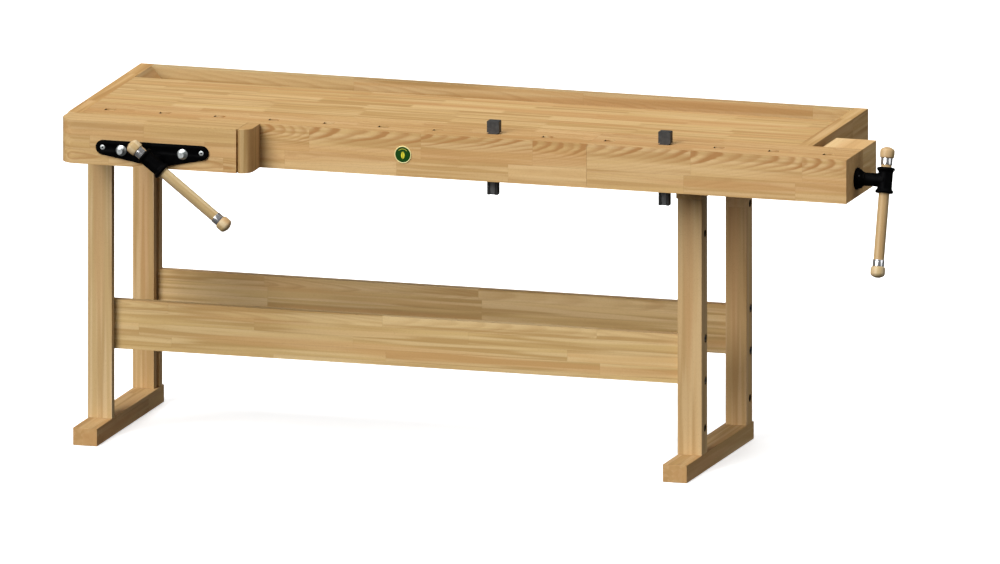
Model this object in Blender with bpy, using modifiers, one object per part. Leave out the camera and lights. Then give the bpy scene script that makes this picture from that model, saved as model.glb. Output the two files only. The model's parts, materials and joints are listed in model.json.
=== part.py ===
"""A joiner's workbench in beech with its two vises: a jaw vise on the front left and a sliding tail vise on
the right end, both turned by a wooden bar through a black cast head. The top, with its row of dog holes and
its tool tray, lies on a trestle of two sledge-footed frames joined by two stretchers.

Everything is laid out in bench coordinates, in metres: X along the bench from the top's left end, Y from the
top's front face towards the back, and Z up from the floor. One empty then moves the whole bench, so that the
world origin is on the floor under the middle of its overall box."""

import math

import bmesh
import bpy
from mathutils import Matrix, Vector

COLLECTION = "workbench"

# Fits
GAP = 0.0003  # between faces that are glued or screwed together
RUNNING = 0.0008  # round a bar that slides or turns
SLIDE = 0.0005  # each side of the sliding tail vise

# Top
BENCH_HEIGHT = 0.860
TOP_LENGTH = 1.902
TOP_DEPTH = 0.622
RIM_HEIGHT = 0.112  # front plank, end caps, back board and both jaws
END_CAP = 0.035
PLANK_DEPTH = 0.142
SLAB_THICK = 0.050
SLAB_BACK = 0.454
BACK_BOARD = 0.026
TRAY_BOTTOM = 0.012
TRAY_LAP = 0.020  # how far the tray's bottom reaches under the slab
RAMP_RUN = 0.043
RAMP_TOE = 0.002  # thickness left at a ramp's lower end
RIM_BOTTOM = BENCH_HEIGHT - RIM_HEIGHT
SLAB_BOTTOM = BENCH_HEIGHT - SLAB_THICK

# Trestle
FOOT_WIDTH = 0.063
FOOT_HEIGHT = 0.045
FOOT_FRONT = 0.042
FOOT_BACK = 0.616
RIGHT_FRAME = 1.542  # left side of the right frame
LEG_WIDTH = 0.063
LEG_DEPTH = 0.048
FRONT_LEG = 0.169  # front faces of the legs
REAR_LEG = 0.553
REBATE_DEEP = 0.008
FRONT_CHEEK = 0.023
BEARER_WIDTH = 0.067
BEARER_HEIGHT = 0.050
LEG_TOP = RIM_BOTTOM - BEARER_HEIGHT
BATTEN_WIDTH = 0.060
STRETCHER_LOW = 0.221
STRETCHER_HIGH = 0.346
STRETCHER_THICK = 0.0247
REAR_STRETCHER_THICK = 0.023
REAR_NOTCH = 0.005
REAR_STRETCHER_FRONT = REAR_LEG + LEG_DEPTH - REAR_STRETCHER_THICK

# Stretcher bolts and spare holes, all on the legs' outer sides
BOLT_HEIGHTS = {"lower": 0.230, "upper": 0.338}
SPARE_HEIGHTS = (0.110, 0.607)
SPARE_HOLE_RADIUS = 0.010
SPARE_HOLE_DEEP = 0.025
SPARE_HOLE_INSET = 0.031  # from the leg's front face
BOLT_RADIUS = 0.004
BOLT_HOLE_RADIUS = 0.0045
BOLT_HEAD_RADIUS = 0.008
BOLT_HEAD_HIGH = 0.008
COUNTERBORE_RADIUS = 0.011
COUNTERBORE_DEEP = 0.010
BOLT_REACH = 0.070  # into the end of the stretcher

# Dog holes and dogs
DOG_PITCH = 0.143
DOG_HOLE = (0.028, 0.020)
DOG_HOLE_Y = 0.056
FIRST_PLANK_HOLE = 0.094
PLANK_HOLES = 9
FIRST_TAIL_HOLE = 1.400
TAIL_HOLES = 5
DOG_LEFT_X = FIRST_PLANK_HOLE + 7 * DOG_PITCH
DOG_RIGHT_X = FIRST_TAIL_HOLE + DOG_PITCH
DOG_HEAD = (0.032, 0.020, 0.0335)
DOG_HEAD_SHIFT = 0.002
DOG_HEAD_ROUND = 0.003
DOG_HEAD_SEGMENTS = 4
DOG_SHANK = (0.027, 0.019)
DOG_BELOW = 0.043
DOG_CHANNEL = (0.014, 0.004)
DOG_SPRING = (0.012, 0.0015, 0.110)
DOG_SPRING_BOW = 0.001
DOG_SPRING_RAISE = 0.002  # above the shank's lower end
DOG_SPRING_STEPS = 8

# Front vise
JAW_LEFT = 0.003
JAW_RIGHT = 0.502
JAW_THICK = 0.087
JAW_LEFT_ROUND = 0.040
JAW_RIGHT_ROUND = 0.031
JAW_GROOVE = (0.466, 0.471)
JAW_GROOVE_DEEP = 0.010
ROUND_SEGMENTS = 10
FRONT_SCREW_X = 0.2616
FRONT_SCREW_Z = BENCH_HEIGHT - 0.0907
PLATE_MIDDLE_X = 0.2477  # the screw stands to the right of the middle of its plate
GUIDE_HALF_SPAN = 0.080
GUIDE_Z = BENCH_HEIGHT - 0.0708
GUIDE_RADIUS = 0.010
GUIDE_HEAD_RADIUS = 0.0138
GUIDE_HEAD_HIGH = 0.015
GUIDE_END = 0.330
PLATE_THICK = 0.005
PLATE_HALF_SPAN = 0.129
PLATE_END_Z = BENCH_HEIGHT - 0.0655
PLATE_END_RADIUS = 0.0185
PLATE_HUB_RADIUS = 0.018
PLATE_SCREW_HEAD = 0.0065
PLATE_SCREW_PROUD = 0.0012
PLATE_SCREW_RADIUS = 0.003
PLATE_SCREW_LONG = 0.035
PLATE_FRONT = -JAW_THICK - GAP - PLATE_THICK
FRONT_HEAD_Y = -0.128
FRONT_TILT = math.radians(37.9)  # of the bar, below level
NUT_PLATE = (0.220, 0.008)
NUT_MARGIN = 0.002  # between the nut casting and the slab, and up from the rim's lower edge
NUT_LENGTH = 0.040
NUT_RADIUS = 0.019
BUSH_RADIUS = 0.0155

# Tail vise
TAIL_LEFT = 1.356
TAIL_RIGHT = 2.035
TAIL_BLOCK_LEFT = 1.931
TAIL_BLOCK_BACK = 0.256
TAIL_SCREW_Y = 0.087
TAIL_SCREW_Z = BENCH_HEIGHT - 0.064
TAIL_HEAD_X = TAIL_RIGHT + 0.075
TAIL_TILT = math.radians(15.9)  # of the bar, from upright
TAIL_SCREW_END = 1.708
HOLLOW_LEFT = 1.700
HOLLOW_FRONT = 0.072
HOLLOW_TOP = BENCH_HEIGHT - 0.030
TAIL_NUT = (0.046, 0.067, 0.050)
RUNNER_LEFT = 1.380
RUNNER_RIGHT = 1.690
RUNNER_STOP_ROOM = 0.015  # left of the runner in its groove when the vise is shut
RUNNER_LOW = BENCH_HEIGHT - 0.033
RUNNER_HIGH = BENCH_HEIGHT - 0.019
RUNNER_BACK = 0.157
FLANGE_RADIUS = 0.0275
FLANGE_THICK = 0.012
FLANGE_LENGTH = 0.024

# Screws, their cast heads, and the bars
SCREW_RADIUS = 0.0125
HEAD_LENGTH = 0.0655
HEAD_RADIUS = 0.0185
HEAD_BEAD_RADIUS = 0.023
HEAD_BEAD = 0.009
NECK_RADIUS = 0.017
BAR_RADIUS = 0.0136
BAR_SPAN = 0.301  # between the middles of the knobs
KNOB_LENGTH = 0.028
KNOB_RADIUS = 0.0185
KNOB_DOME = 0.012
KNOB_SOFT_EDGE = 0.003
FERRULE_LENGTH = 0.017
FERRULE_RADIUS = 0.0145
STOP_DISTANCE = HEAD_LENGTH / 2 + FERRULE_LENGTH + KNOB_LENGTH / 2
TAIL_BAR_LIFT = 0.006  # the tail vise's bar stands this far above its stop

# Badge
BADGE_X = 0.876
BADGE_Z = BENCH_HEIGHT - 0.056
BADGE_RADIUS = 0.0205
BADGE_THICK = 0.002

# Overall box, for the origin
BOX_RIGHT = TAIL_HEAD_X + HEAD_BEAD_RADIUS
BOX_FRONT = FRONT_HEAD_Y - HEAD_BEAD_RADIUS
ORIGIN = Vector((BOX_RIGHT / 2, (TOP_DEPTH + BOX_FRONT) / 2, 0.0))

FINE = 24
COARSE = 16
PAST = 0.002  # how far a cutter runs past a face
SHARP_ANGLE = math.radians(30.0)  # edges sharper than this stay crisp in the shading
FLAT_ANGLE = 0.001  # radians between faces that count as one flat face


# Scene, materials and carriers


def clear_scene():
    for obj in list(bpy.data.objects):
        bpy.data.objects.remove(obj, do_unlink=True)


def new_collection(name):
    made = bpy.data.collections.new(name)
    bpy.context.scene.collection.children.link(made)
    return made


def new_material(name, colour, roughness, metallic):
    made = bpy.data.materials.new(name)
    made.use_nodes = True
    shader = made.node_tree.nodes["Principled BSDF"]
    shader.inputs["Base Color"].default_value = (*colour, 1.0)
    shader.inputs["Roughness"].default_value = roughness
    shader.inputs["Metallic"].default_value = metallic
    return made


def new_carrier(name, position, parent=None):
    """An empty that carries one body. Its position is in bench coordinates."""
    made = bpy.data.objects.new(name, None)
    PARTS.objects.link(made)
    made.parent = parent
    above = Vector(parent["bench"]) if parent else ORIGIN
    made.location = Vector(position) - above
    made["bench"] = tuple(position)
    return made


# Meshes


def frame_along(axis, side):
    """The rotation that turns local Z to axis and local X to side."""
    z = Vector(axis).normalized()
    x = Vector(side).normalized()
    return Matrix((x, z.cross(x), z)).transposed().to_4x4()


def box_into(mesh, low, high):
    low, high = Vector(low), Vector(high)
    size = high - low
    place = Matrix.Translation((low + high) / 2) @ Matrix.Diagonal((*size, 1.0))
    bmesh.ops.create_cube(mesh, size=1.0, matrix=place)


def rod_into(mesh, start, end, radius, segments=FINE):
    start, end = Vector(start), Vector(end)
    along = end - start
    turn = Vector((0.0, 0.0, 1.0)).rotation_difference(along).to_matrix().to_4x4()
    bmesh.ops.create_cone(
        mesh,
        cap_ends=True,
        segments=segments,
        radius1=radius,
        radius2=radius,
        depth=along.length,
        matrix=Matrix.Translation((start + end) / 2) @ turn,
    )


def finish_object(name, mesh, origin, carrier, material, collection):
    """An object from a mesh in bench coordinates, with its own origin at the given point."""
    bmesh.ops.translate(mesh, verts=mesh.verts, vec=-Vector(origin))
    bmesh.ops.recalc_face_normals(mesh, faces=mesh.faces)
    data = bpy.data.meshes.new(name)
    mesh.to_mesh(data)
    mesh.free()
    data.shade_smooth()
    data.set_sharp_from_angle(angle=SHARP_ANGLE)
    data.materials.append(material)
    made = bpy.data.objects.new(name, data)
    collection.objects.link(made)
    made.parent = carrier
    made.location = Vector(origin) - Vector(carrier["bench"])
    return made


def middle(low, high):
    return (Vector(low) + Vector(high)) / 2


def board(name, low, high, carrier, material, rounded=()):
    """A box between two corners, with the radius given for each rounded upright edge (x, y, radius)."""
    mesh = bmesh.new()
    box_into(mesh, low, high)
    for x, y, radius in rounded:
        edges = [
            edge
            for edge in mesh.edges
            if all(abs(v.co.x - x) < GAP and abs(v.co.y - y) < GAP for v in edge.verts)
        ]
        bmesh.ops.bevel(
            mesh, geom=edges, offset=radius, segments=ROUND_SEGMENTS, profile=0.5, affect="EDGES"
        )
    return finish_object(name, mesh, middle(low, high), carrier, material, PARTS)


def rod(name, start, end, radius, carrier, material, segments=FINE):
    mesh = bmesh.new()
    rod_into(mesh, start, end, radius, segments)
    return finish_object(name, mesh, start, carrier, material, PARTS)


def turned(name, profile, centre, turn, carrier, material, closed=False):
    """A turned piece. Its profile holds (radius, distance along the axis), outer side from the top down."""
    data = bpy.data.meshes.new(name)
    points = [(radius, 0.0, along) for radius, along in profile]
    edges = [(i, i + 1) for i in range(len(points) - 1)]
    if closed:
        edges.append((len(points) - 1, 0))
    data.from_pydata(points, edges, [])
    data.materials.append(material)
    made = bpy.data.objects.new(name, data)
    PARTS.objects.link(made)
    made.parent = carrier
    made.location = Vector(centre) - Vector(carrier["bench"])
    made.rotation_euler = turn.to_euler()
    screw = made.modifiers.new("Turn", "SCREW")
    screw.axis = "Z"
    screw.steps = FINE
    screw.render_steps = FINE
    screw.use_merge_vertices = True
    screw.merge_threshold = 0.00001
    screw.use_smooth_shade = True
    return made


def helper(name, fill, carrier):
    """A hidden mesh for a Boolean, filled by a function that takes the mesh."""
    mesh = bmesh.new()
    fill(mesh)
    made = finish_object(name, mesh, carrier["bench"], carrier, BEECH, CUTTERS)
    made.hide_render = True
    made.display_type = "WIRE"
    return made


def use_boolean(target, other, operation):
    modifier = target.modifiers.new(other.name, "BOOLEAN")
    modifier.operation = operation
    modifier.solver = "EXACT"
    modifier.object = other


def cut(target, name, fill, carrier):
    use_boolean(target, helper(name, fill, carrier), "DIFFERENCE")


def join(target, name, fill, carrier):
    use_boolean(target, helper(name, fill, carrier), "UNION")


# Top


def dog_hole_centres(first, count):
    return [first + i * DOG_PITCH for i in range(count)]


def dog_holes_into(mesh, centres):
    half_x, half_y = DOG_HOLE[0] / 2, DOG_HOLE[1] / 2
    for x in centres:
        box_into(
            mesh,
            (x - half_x, DOG_HOLE_Y - half_y, RIM_BOTTOM - PAST),
            (x + half_x, DOG_HOLE_Y + half_y, BENCH_HEIGHT + PAST),
        )


def guide_positions():
    return {"left": PLATE_MIDDLE_X - GUIDE_HALF_SPAN, "right": PLATE_MIDDLE_X + GUIDE_HALF_SPAN}


def vise_bores_into(mesh, front, back, screw_radius, guide_radius):
    """Bores along Y for the front vise's screw and its two guide bars."""
    screw = (FRONT_SCREW_X, FRONT_SCREW_Z)
    rod_into(mesh, (screw[0], front, screw[1]), (screw[0], back, screw[1]), screw_radius)
    for x in guide_positions().values():
        rod_into(mesh, (x, front, GUIDE_Z), (x, back, GUIDE_Z), guide_radius)


def make_plank():
    plank = board(
        "dog_hole_plank",
        (END_CAP + GAP, 0.0, RIM_BOTTOM),
        (TAIL_LEFT - GAP, PLANK_DEPTH, BENCH_HEIGHT),
        BENCH,
        BEECH,
    )
    cut(
        plank,
        "plank_dog_holes",
        lambda mesh: dog_holes_into(mesh, dog_hole_centres(FIRST_PLANK_HOLE, PLANK_HOLES)),
        BENCH,
    )
    cut(
        plank,
        "plank_vise_bores",
        lambda mesh: vise_bores_into(
            mesh, -PAST, PLANK_DEPTH + PAST, SCREW_RADIUS + RUNNING, GUIDE_RADIUS + RUNNING
        ),
        BENCH,
    )


def make_slab():
    front = PLANK_DEPTH + SLIDE
    slab = board(
        "bench_slab",
        (END_CAP + GAP, front, SLAB_BOTTOM),
        (TOP_LENGTH - END_CAP - GAP, SLAB_BACK, BENCH_HEIGHT),
        BENCH,
        BEECH,
    )
    cut(
        slab,
        "runner_groove",
        lambda mesh: box_into(
            mesh,
            (RUNNER_LEFT - RUNNER_STOP_ROOM, front - PAST, RUNNER_LOW - RUNNING),
            (TOP_LENGTH, RUNNER_BACK + RUNNING, RUNNER_HIGH + RUNNING),
        ),
        BENCH,
    )


def make_rim():
    left_back = (END_CAP, TOP_DEPTH, BENCH_HEIGHT)
    board("end_cap_left", (0.0, 0.0, RIM_BOTTOM), left_back, BENCH, BEECH)
    board(
        "end_cap_right",
        (TOP_LENGTH - END_CAP, PLANK_DEPTH + SLIDE, RIM_BOTTOM),
        (TOP_LENGTH, TOP_DEPTH, BENCH_HEIGHT),
        BENCH,
        BEECH,
    )
    board(
        "back_board",
        (END_CAP + GAP, TOP_DEPTH - BACK_BOARD, RIM_BOTTOM),
        (TOP_LENGTH - END_CAP - GAP, TOP_DEPTH, BENCH_HEIGHT),
        BENCH,
        BEECH,
    )


def make_tray():
    tray_top = SLAB_BOTTOM - GAP
    tray_back = TOP_DEPTH - BACK_BOARD - GAP
    board(
        "tray_bottom",
        (END_CAP + GAP, SLAB_BACK - TRAY_LAP, tray_top - TRAY_BOTTOM),
        (TOP_LENGTH - END_CAP - GAP, tray_back, tray_top),
        BENCH,
        BEECH,
    )
    walls = {"left": (END_CAP + GAP, 1.0), "right": (TOP_LENGTH - END_CAP - GAP, -1.0)}
    for side, (wall, inward) in walls.items():
        mesh = bmesh.new()
        ends = sorted((wall, wall + inward * RAMP_RUN))
        box_into(
            mesh,
            (ends[0], SLAB_BACK + GAP, tray_top + GAP),
            (ends[1], tray_back, BENCH_HEIGHT),
        )
        toe = [
            v
            for v in mesh.verts
            if v.co.z > BENCH_HEIGHT - GAP and abs(v.co.x - wall) > RAMP_RUN / 2
        ]
        for v in toe:
            v.co.z = tray_top + GAP + RAMP_TOE
        origin = (wall, SLAB_BACK, tray_top)
        finish_object(f"tray_ramp_{side}", mesh, origin, BENCH, BEECH, PARTS)


def make_badge():
    start = (BADGE_X, -GAP, BADGE_Z)
    end = (BADGE_X, -GAP - BADGE_THICK, BADGE_Z)
    rod("badge", start, end, BADGE_RADIUS, BENCH, GREEN)


# Trestle


def frame_sides():
    """For each frame: its left side, its outer face, and the direction from that face inwards."""
    return {
        "left": (0.0, 0.0, 1.0),
        "right": (RIGHT_FRAME, RIGHT_FRAME + LEG_WIDTH, -1.0),
    }


def make_leg(name, left, outer, inward, front, rebate, notch):
    leg = board(
        name,
        (left, front, FOOT_HEIGHT + GAP),
        (left + LEG_WIDTH, front + LEG_DEPTH, LEG_TOP),
        BENCH,
        BEECH,
    )
    inner = outer + inward * LEG_WIDTH

    def inner_cut(mesh, depth, across, up):
        xs = sorted((inner - inward * depth, inner + inward * PAST))
        box_into(mesh, (xs[0], across[0], up[0]), (xs[1], across[1], up[1]))

    def outer_holes(mesh):
        bolt_y = stretcher_bolt_y(front)
        for z in BOLT_HEIGHTS.values():
            start = (outer - inward * PAST, bolt_y, z)
            end = (outer + inward * COUNTERBORE_DEEP, bolt_y, z)
            rod_into(mesh, start, end, COUNTERBORE_RADIUS, COARSE)
        for z in SPARE_HEIGHTS:
            y = front + SPARE_HOLE_INSET
            end = (outer + inward * SPARE_HOLE_DEEP, y, z)
            rod_into(mesh, (outer - inward * PAST, y, z), end, SPARE_HOLE_RADIUS, COARSE)

    def bolt_holes(mesh):
        bolt_y = stretcher_bolt_y(front)
        for z in BOLT_HEIGHTS.values():
            start = (outer + inward * PAST, bolt_y, z)
            end = (inner + inward * PAST, bolt_y, z)
            rod_into(mesh, start, end, BOLT_HOLE_RADIUS, COARSE)

    cut(leg, name + "_rebate", lambda mesh: inner_cut(mesh, *rebate), BENCH)
    if notch:
        cut(leg, name + "_notch", lambda mesh: inner_cut(mesh, *notch), BENCH)
    cut(leg, name + "_counterbores", outer_holes, BENCH)
    cut(leg, name + "_bolt_holes", bolt_holes, BENCH)


def stretcher_bolt_y(leg_front):
    if leg_front == FRONT_LEG:
        return FRONT_LEG + FRONT_CHEEK + GAP + STRETCHER_THICK / 2
    return REAR_STRETCHER_FRONT + REAR_STRETCHER_THICK / 2


def make_frames():
    whole = (0.0, LEG_TOP + PAST)
    for side, (left, outer, inward) in frame_sides().items():
        foot_high = (left + FOOT_WIDTH, FOOT_BACK, FOOT_HEIGHT)
        board(f"foot_{side}", (left, FOOT_FRONT, 0.0), foot_high, BENCH, BEECH)
        bearer = sorted((outer, outer + inward * BEARER_WIDTH))
        board(
            f"bearer_{side}",
            (bearer[0], FRONT_LEG, LEG_TOP + GAP),
            (bearer[1], REAR_LEG + LEG_DEPTH, RIM_BOTTOM - GAP),
            BENCH,
            BEECH,
        )
        batten_outer = max(outer, END_CAP + GAP)
        batten = sorted((batten_outer, batten_outer + inward * BATTEN_WIDTH))
        board(
            f"batten_{side}",
            (batten[0], PLANK_DEPTH + 2 * SLIDE, RIM_BOTTOM),
            (batten[1], SLAB_BACK - TRAY_LAP - GAP, SLAB_BOTTOM - GAP),
            BENCH,
            BEECH,
        )
        behind_cheek = (FRONT_LEG + FRONT_CHEEK, FRONT_LEG + LEG_DEPTH + PAST)
        make_leg(
            f"leg_front_{side}", left, outer, inward, FRONT_LEG, (REBATE_DEEP, behind_cheek, whole), None
        )
        before_cheek = (REAR_LEG - PAST, REAR_STRETCHER_FRONT)
        notch = (
            REAR_NOTCH,
            (REAR_STRETCHER_FRONT - PAST, REAR_LEG + LEG_DEPTH + PAST),
            (STRETCHER_LOW - GAP, STRETCHER_HIGH + GAP),
        )
        make_leg(
            f"leg_rear_{side}", left, outer, inward, REAR_LEG, (REBATE_DEEP, before_cheek, whole), notch
        )


def make_stretchers():
    insets = {
        "front": (REBATE_DEEP, FRONT_LEG + FRONT_CHEEK + GAP, STRETCHER_THICK, FRONT_LEG),
        "rear": (REAR_NOTCH, REAR_STRETCHER_FRONT, REAR_STRETCHER_THICK, REAR_LEG),
    }
    for place, (let_in, front, thick, leg_front) in insets.items():
        ends = (LEG_WIDTH - let_in + GAP, RIGHT_FRAME + let_in - GAP)
        stretcher = board(
            f"stretcher_{place}",
            (ends[0], front, STRETCHER_LOW),
            (ends[1], front + thick, STRETCHER_HIGH),
            BENCH,
            BEECH,
        )
        y = stretcher_bolt_y(leg_front)

        def end_holes(mesh, ends=ends, y=y):
            for end, inward in zip(ends, (1.0, -1.0)):
                mouth = end - inward * PAST
                bottom = end + inward * (BOLT_REACH + PAST)
                for z in BOLT_HEIGHTS.values():
                    rod_into(mesh, (mouth, y, z), (bottom, y, z), BOLT_HOLE_RADIUS, COARSE)

        cut(stretcher, f"stretcher_{place}_holes", end_holes, BENCH)
        for side, (_, outer, inward) in frame_sides().items():
            for level, z in BOLT_HEIGHTS.items():
                end = (ends[0] + BOLT_REACH) if inward > 0 else (ends[1] - BOLT_REACH)
                make_bolt(f"stretcher_bolt_{place}_{side}_{level}", outer, inward, y, z, end)


def make_bolt(name, outer, inward, y, z, end):
    head_start = outer + inward * (COUNTERBORE_DEEP - GAP - BOLT_HEAD_HIGH)
    head_end = outer + inward * (COUNTERBORE_DEEP - GAP)
    bolt = rod(name, (head_start, y, z), (head_end, y, z), BOLT_HEAD_RADIUS, BENCH, ZINC, COARSE)
    join(
        bolt,
        name + "_shank",
        lambda mesh: rod_into(mesh, (head_start + inward * PAST, y, z), (end, y, z), BOLT_RADIUS, COARSE),
        BENCH,
    )


# The screw's cast head and its bar, for either vise


def quarter_turn(steps):
    """Angles from 0 to 90 degrees."""
    return [math.pi / 2 * i / steps for i in range(steps + 1)]


def head_profile():
    """A sleeve with a rounded bead at each end, from the top down."""
    half = HEAD_LENGTH / 2
    bead = HEAD_BEAD / 2
    bulge = HEAD_BEAD_RADIUS - bead
    rounded = [(math.sin(2 * a), math.cos(2 * a)) for a in quarter_turn(6)]
    upper = [(bulge + bead * out, half - bead + bead * up) for out, up in rounded]
    lower = [(bulge + bead * out, -half + bead + bead * up) for out, up in rounded]
    barrel = [(HEAD_RADIUS, half - HEAD_BEAD), (HEAD_RADIUS, -half + HEAD_BEAD)]
    return [(0.0, half)] + upper[:-1] + barrel + lower[1:] + [(0.0, -half)]


def make_head(name, centre, turn, axis, neck_start, carrier):
    head = turned(name, head_profile(), centre, turn, carrier, BLACK)
    reach = Vector(axis) * (HEAD_LENGTH / 2 + PAST)
    join(head, name + "_neck", lambda mesh: rod_into(mesh, neck_start, centre, NECK_RADIUS), carrier)
    cut(
        head,
        name + "_bore",
        lambda mesh: rod_into(
            mesh, Vector(centre) - reach, Vector(centre) + reach, BAR_RADIUS + RUNNING
        ),
        carrier,
    )


def knob_profile():
    """A short barrel, flat where it meets the ferrule and domed at its outer end, from the top down."""
    half = KNOB_LENGTH / 2
    dome_low = half - KNOB_DOME
    edge_centre = KNOB_RADIUS - KNOB_SOFT_EDGE
    edge_high = KNOB_SOFT_EDGE - half
    dome = [
        (KNOB_RADIUS * math.sin(a), dome_low + KNOB_DOME * math.cos(a)) for a in quarter_turn(6)
    ]
    edge = [
        (edge_centre + KNOB_SOFT_EDGE * math.cos(a), edge_high - KNOB_SOFT_EDGE * math.sin(a))
        for a in quarter_turn(3)
    ]
    return dome + edge + [(0.0, -half)]


def make_bar(prefix, centre, axis, side, upper_distance, carrier):
    """The wooden bar with a ferrule and a knob at each end. Its upper knob is at upper_distance."""
    up = Vector(axis)
    centre = Vector(centre)
    lower_distance = BAR_SPAN - upper_distance
    inner = KNOB_LENGTH / 2 + GAP
    rod(
        f"{prefix}_bar",
        centre - up * (lower_distance - inner),
        centre + up * (upper_distance - inner),
        BAR_RADIUS,
        carrier,
        BAR_BEECH,
    )
    ring = [
        (FERRULE_RADIUS, FERRULE_LENGTH / 2),
        (FERRULE_RADIUS, -FERRULE_LENGTH / 2),
        (BAR_RADIUS + GAP, -FERRULE_LENGTH / 2),
        (BAR_RADIUS + GAP, FERRULE_LENGTH / 2),
    ]
    for end, outward, distance in (("upper", up, upper_distance), ("lower", -up, lower_distance)):
        turn = frame_along(outward, side)
        knob_at = centre + outward * distance
        turned(f"{prefix}_knob_{end}", knob_profile(), knob_at, turn, carrier, BAR_BEECH)
        ferrule_at = centre + outward * (distance - inner - FERRULE_LENGTH / 2)
        turned(f"{prefix}_ferrule_{end}", ring, ferrule_at, turn, carrier, BRIGHT, closed=True)


# Front vise


def make_front_jaw():
    groove = (JAW_GROOVE[0] + JAW_GROOVE[1]) / 2
    front = -JAW_THICK
    jaw = board(
        "front_jaw",
        (JAW_LEFT, front, RIM_BOTTOM),
        (groove - GAP / 2, -GAP, BENCH_HEIGHT),
        FRONT_JAW,
        BEECH,
        rounded=[(JAW_LEFT, front, JAW_LEFT_ROUND)],
    )
    jaw_end = board(
        "front_jaw_end",
        (groove + GAP / 2, front, RIM_BOTTOM),
        (JAW_RIGHT, -GAP, BENCH_HEIGHT),
        FRONT_JAW,
        BEECH,
        rounded=[(JAW_RIGHT, front, JAW_RIGHT_ROUND)],
    )

    def groove_into(mesh):
        box_into(
            mesh,
            (JAW_GROOVE[0], front - PAST, RIM_BOTTOM - PAST),
            (JAW_GROOVE[1], front + JAW_GROOVE_DEEP, BENCH_HEIGHT + PAST),
        )

    def jaw_bores(mesh):
        vise_bores_into(mesh, front - PAST, PAST, SCREW_RADIUS + RUNNING, GUIDE_RADIUS + GAP)
        for x in plate_screw_positions().values():
            end = (x, PLATE_FRONT + PLATE_SCREW_LONG + PAST, PLATE_END_Z)
            rod_into(mesh, (x, front - PAST, PLATE_END_Z), end, PLATE_SCREW_RADIUS + GAP, COARSE)

    cut(jaw, "jaw_groove", groove_into, FRONT_JAW)
    cut(jaw, "jaw_bores", jaw_bores, FRONT_JAW)
    cut(jaw_end, "jaw_end_groove", groove_into, FRONT_JAW)


def plate_screw_positions():
    return {"left": PLATE_MIDDLE_X - PLATE_HALF_SPAN, "right": PLATE_MIDDLE_X + PLATE_HALF_SPAN}


def make_front_plate():
    """The plate's outline wraps a small disc at each end and a hub round the screw."""
    discs = [(x, PLATE_END_Z, PLATE_END_RADIUS) for x in plate_screw_positions().values()]
    discs.append((FRONT_SCREW_X, FRONT_SCREW_Z, PLATE_HUB_RADIUS))
    back = -JAW_THICK - GAP
    mesh = bmesh.new()
    for x, z, radius in discs:
        for i in range(FINE):
            angle = 2 * math.pi * i / FINE
            for y in (PLATE_FRONT, back):
                mesh.verts.new((x + radius * math.cos(angle), y, z + radius * math.sin(angle)))
    bmesh.ops.convex_hull(mesh, input=mesh.verts)
    loose = [v for v in mesh.verts if not v.link_faces]
    bmesh.ops.delete(mesh, geom=loose, context="VERTS")
    bmesh.ops.dissolve_limit(mesh, angle_limit=FLAT_ANGLE, verts=mesh.verts, edges=mesh.edges)
    hub = (FRONT_SCREW_X, PLATE_FRONT, FRONT_SCREW_Z)
    plate = finish_object("front_vise_plate", mesh, hub, FRONT_JAW, BLACK, PARTS)

    def plate_holes(mesh):
        vise_bores_into(
            mesh, PLATE_FRONT - PAST, back + PAST, SCREW_RADIUS + RUNNING, GUIDE_RADIUS + GAP
        )
        for x in plate_screw_positions().values():
            rod_into(
                mesh,
                (x, PLATE_FRONT - PAST, PLATE_END_Z),
                (x, back + PAST, PLATE_END_Z),
                PLATE_SCREW_RADIUS + GAP,
                COARSE,
            )

    cut(plate, "plate_holes", plate_holes, FRONT_JAW)
    for side, x in plate_screw_positions().items():
        name = f"front_plate_screw_{side}"
        face = (x, PLATE_FRONT - GAP, PLATE_END_Z)
        top = (x, PLATE_FRONT - GAP - PLATE_SCREW_PROUD, PLATE_END_Z)
        end = (x, PLATE_FRONT + PLATE_SCREW_LONG, PLATE_END_Z)
        screw = rod(name, top, face, PLATE_SCREW_HEAD, FRONT_JAW, ZINC, COARSE)
        middle_of_head = middle(top, face)
        join(
            screw,
            name + "_shank",
            lambda mesh, a=middle_of_head, b=end: rod_into(mesh, a, b, PLATE_SCREW_RADIUS, COARSE),
            FRONT_JAW,
        )


def make_guide_bars():
    for side, x in guide_positions().items():
        name = f"front_guide_bar_{side}"
        face = PLATE_FRONT - GAP
        top = (x, face - GUIDE_HEAD_HIGH, GUIDE_Z)
        bar = rod(name, (x, face, GUIDE_Z), top, GUIDE_HEAD_RADIUS, FRONT_JAW, ZINC)
        start = (x, face - GUIDE_HEAD_HIGH / 2, GUIDE_Z)
        join(
            bar,
            name + "_shank",
            lambda mesh, a=start, b=(x, GUIDE_END, GUIDE_Z): rod_into(mesh, a, b, GUIDE_RADIUS),
            FRONT_JAW,
        )


def make_front_nut():
    """The casting behind the plank: a plate with the nut near its middle and a bush for each guide bar."""
    start = PLANK_DEPTH + GAP
    plate_back = start + NUT_PLATE[1]
    nut = board(
        "front_vise_nut",
        (PLATE_MIDDLE_X - NUT_PLATE[0] / 2, start, RIM_BOTTOM + NUT_MARGIN),
        (PLATE_MIDDLE_X + NUT_PLATE[0] / 2, plate_back, SLAB_BOTTOM - NUT_MARGIN),
        BENCH,
        BLACK,
    )
    end = start + NUT_LENGTH

    def bosses(mesh):
        vise_bores_into(mesh, plate_back - PAST, end, NUT_RADIUS, BUSH_RADIUS)

    def bores(mesh):
        vise_bores_into(mesh, start - PAST, end + PAST, SCREW_RADIUS + RUNNING, GUIDE_RADIUS + RUNNING)

    join(nut, "front_nut_bosses", bosses, BENCH)
    cut(nut, "front_nut_bores", bores, BENCH)


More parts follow.
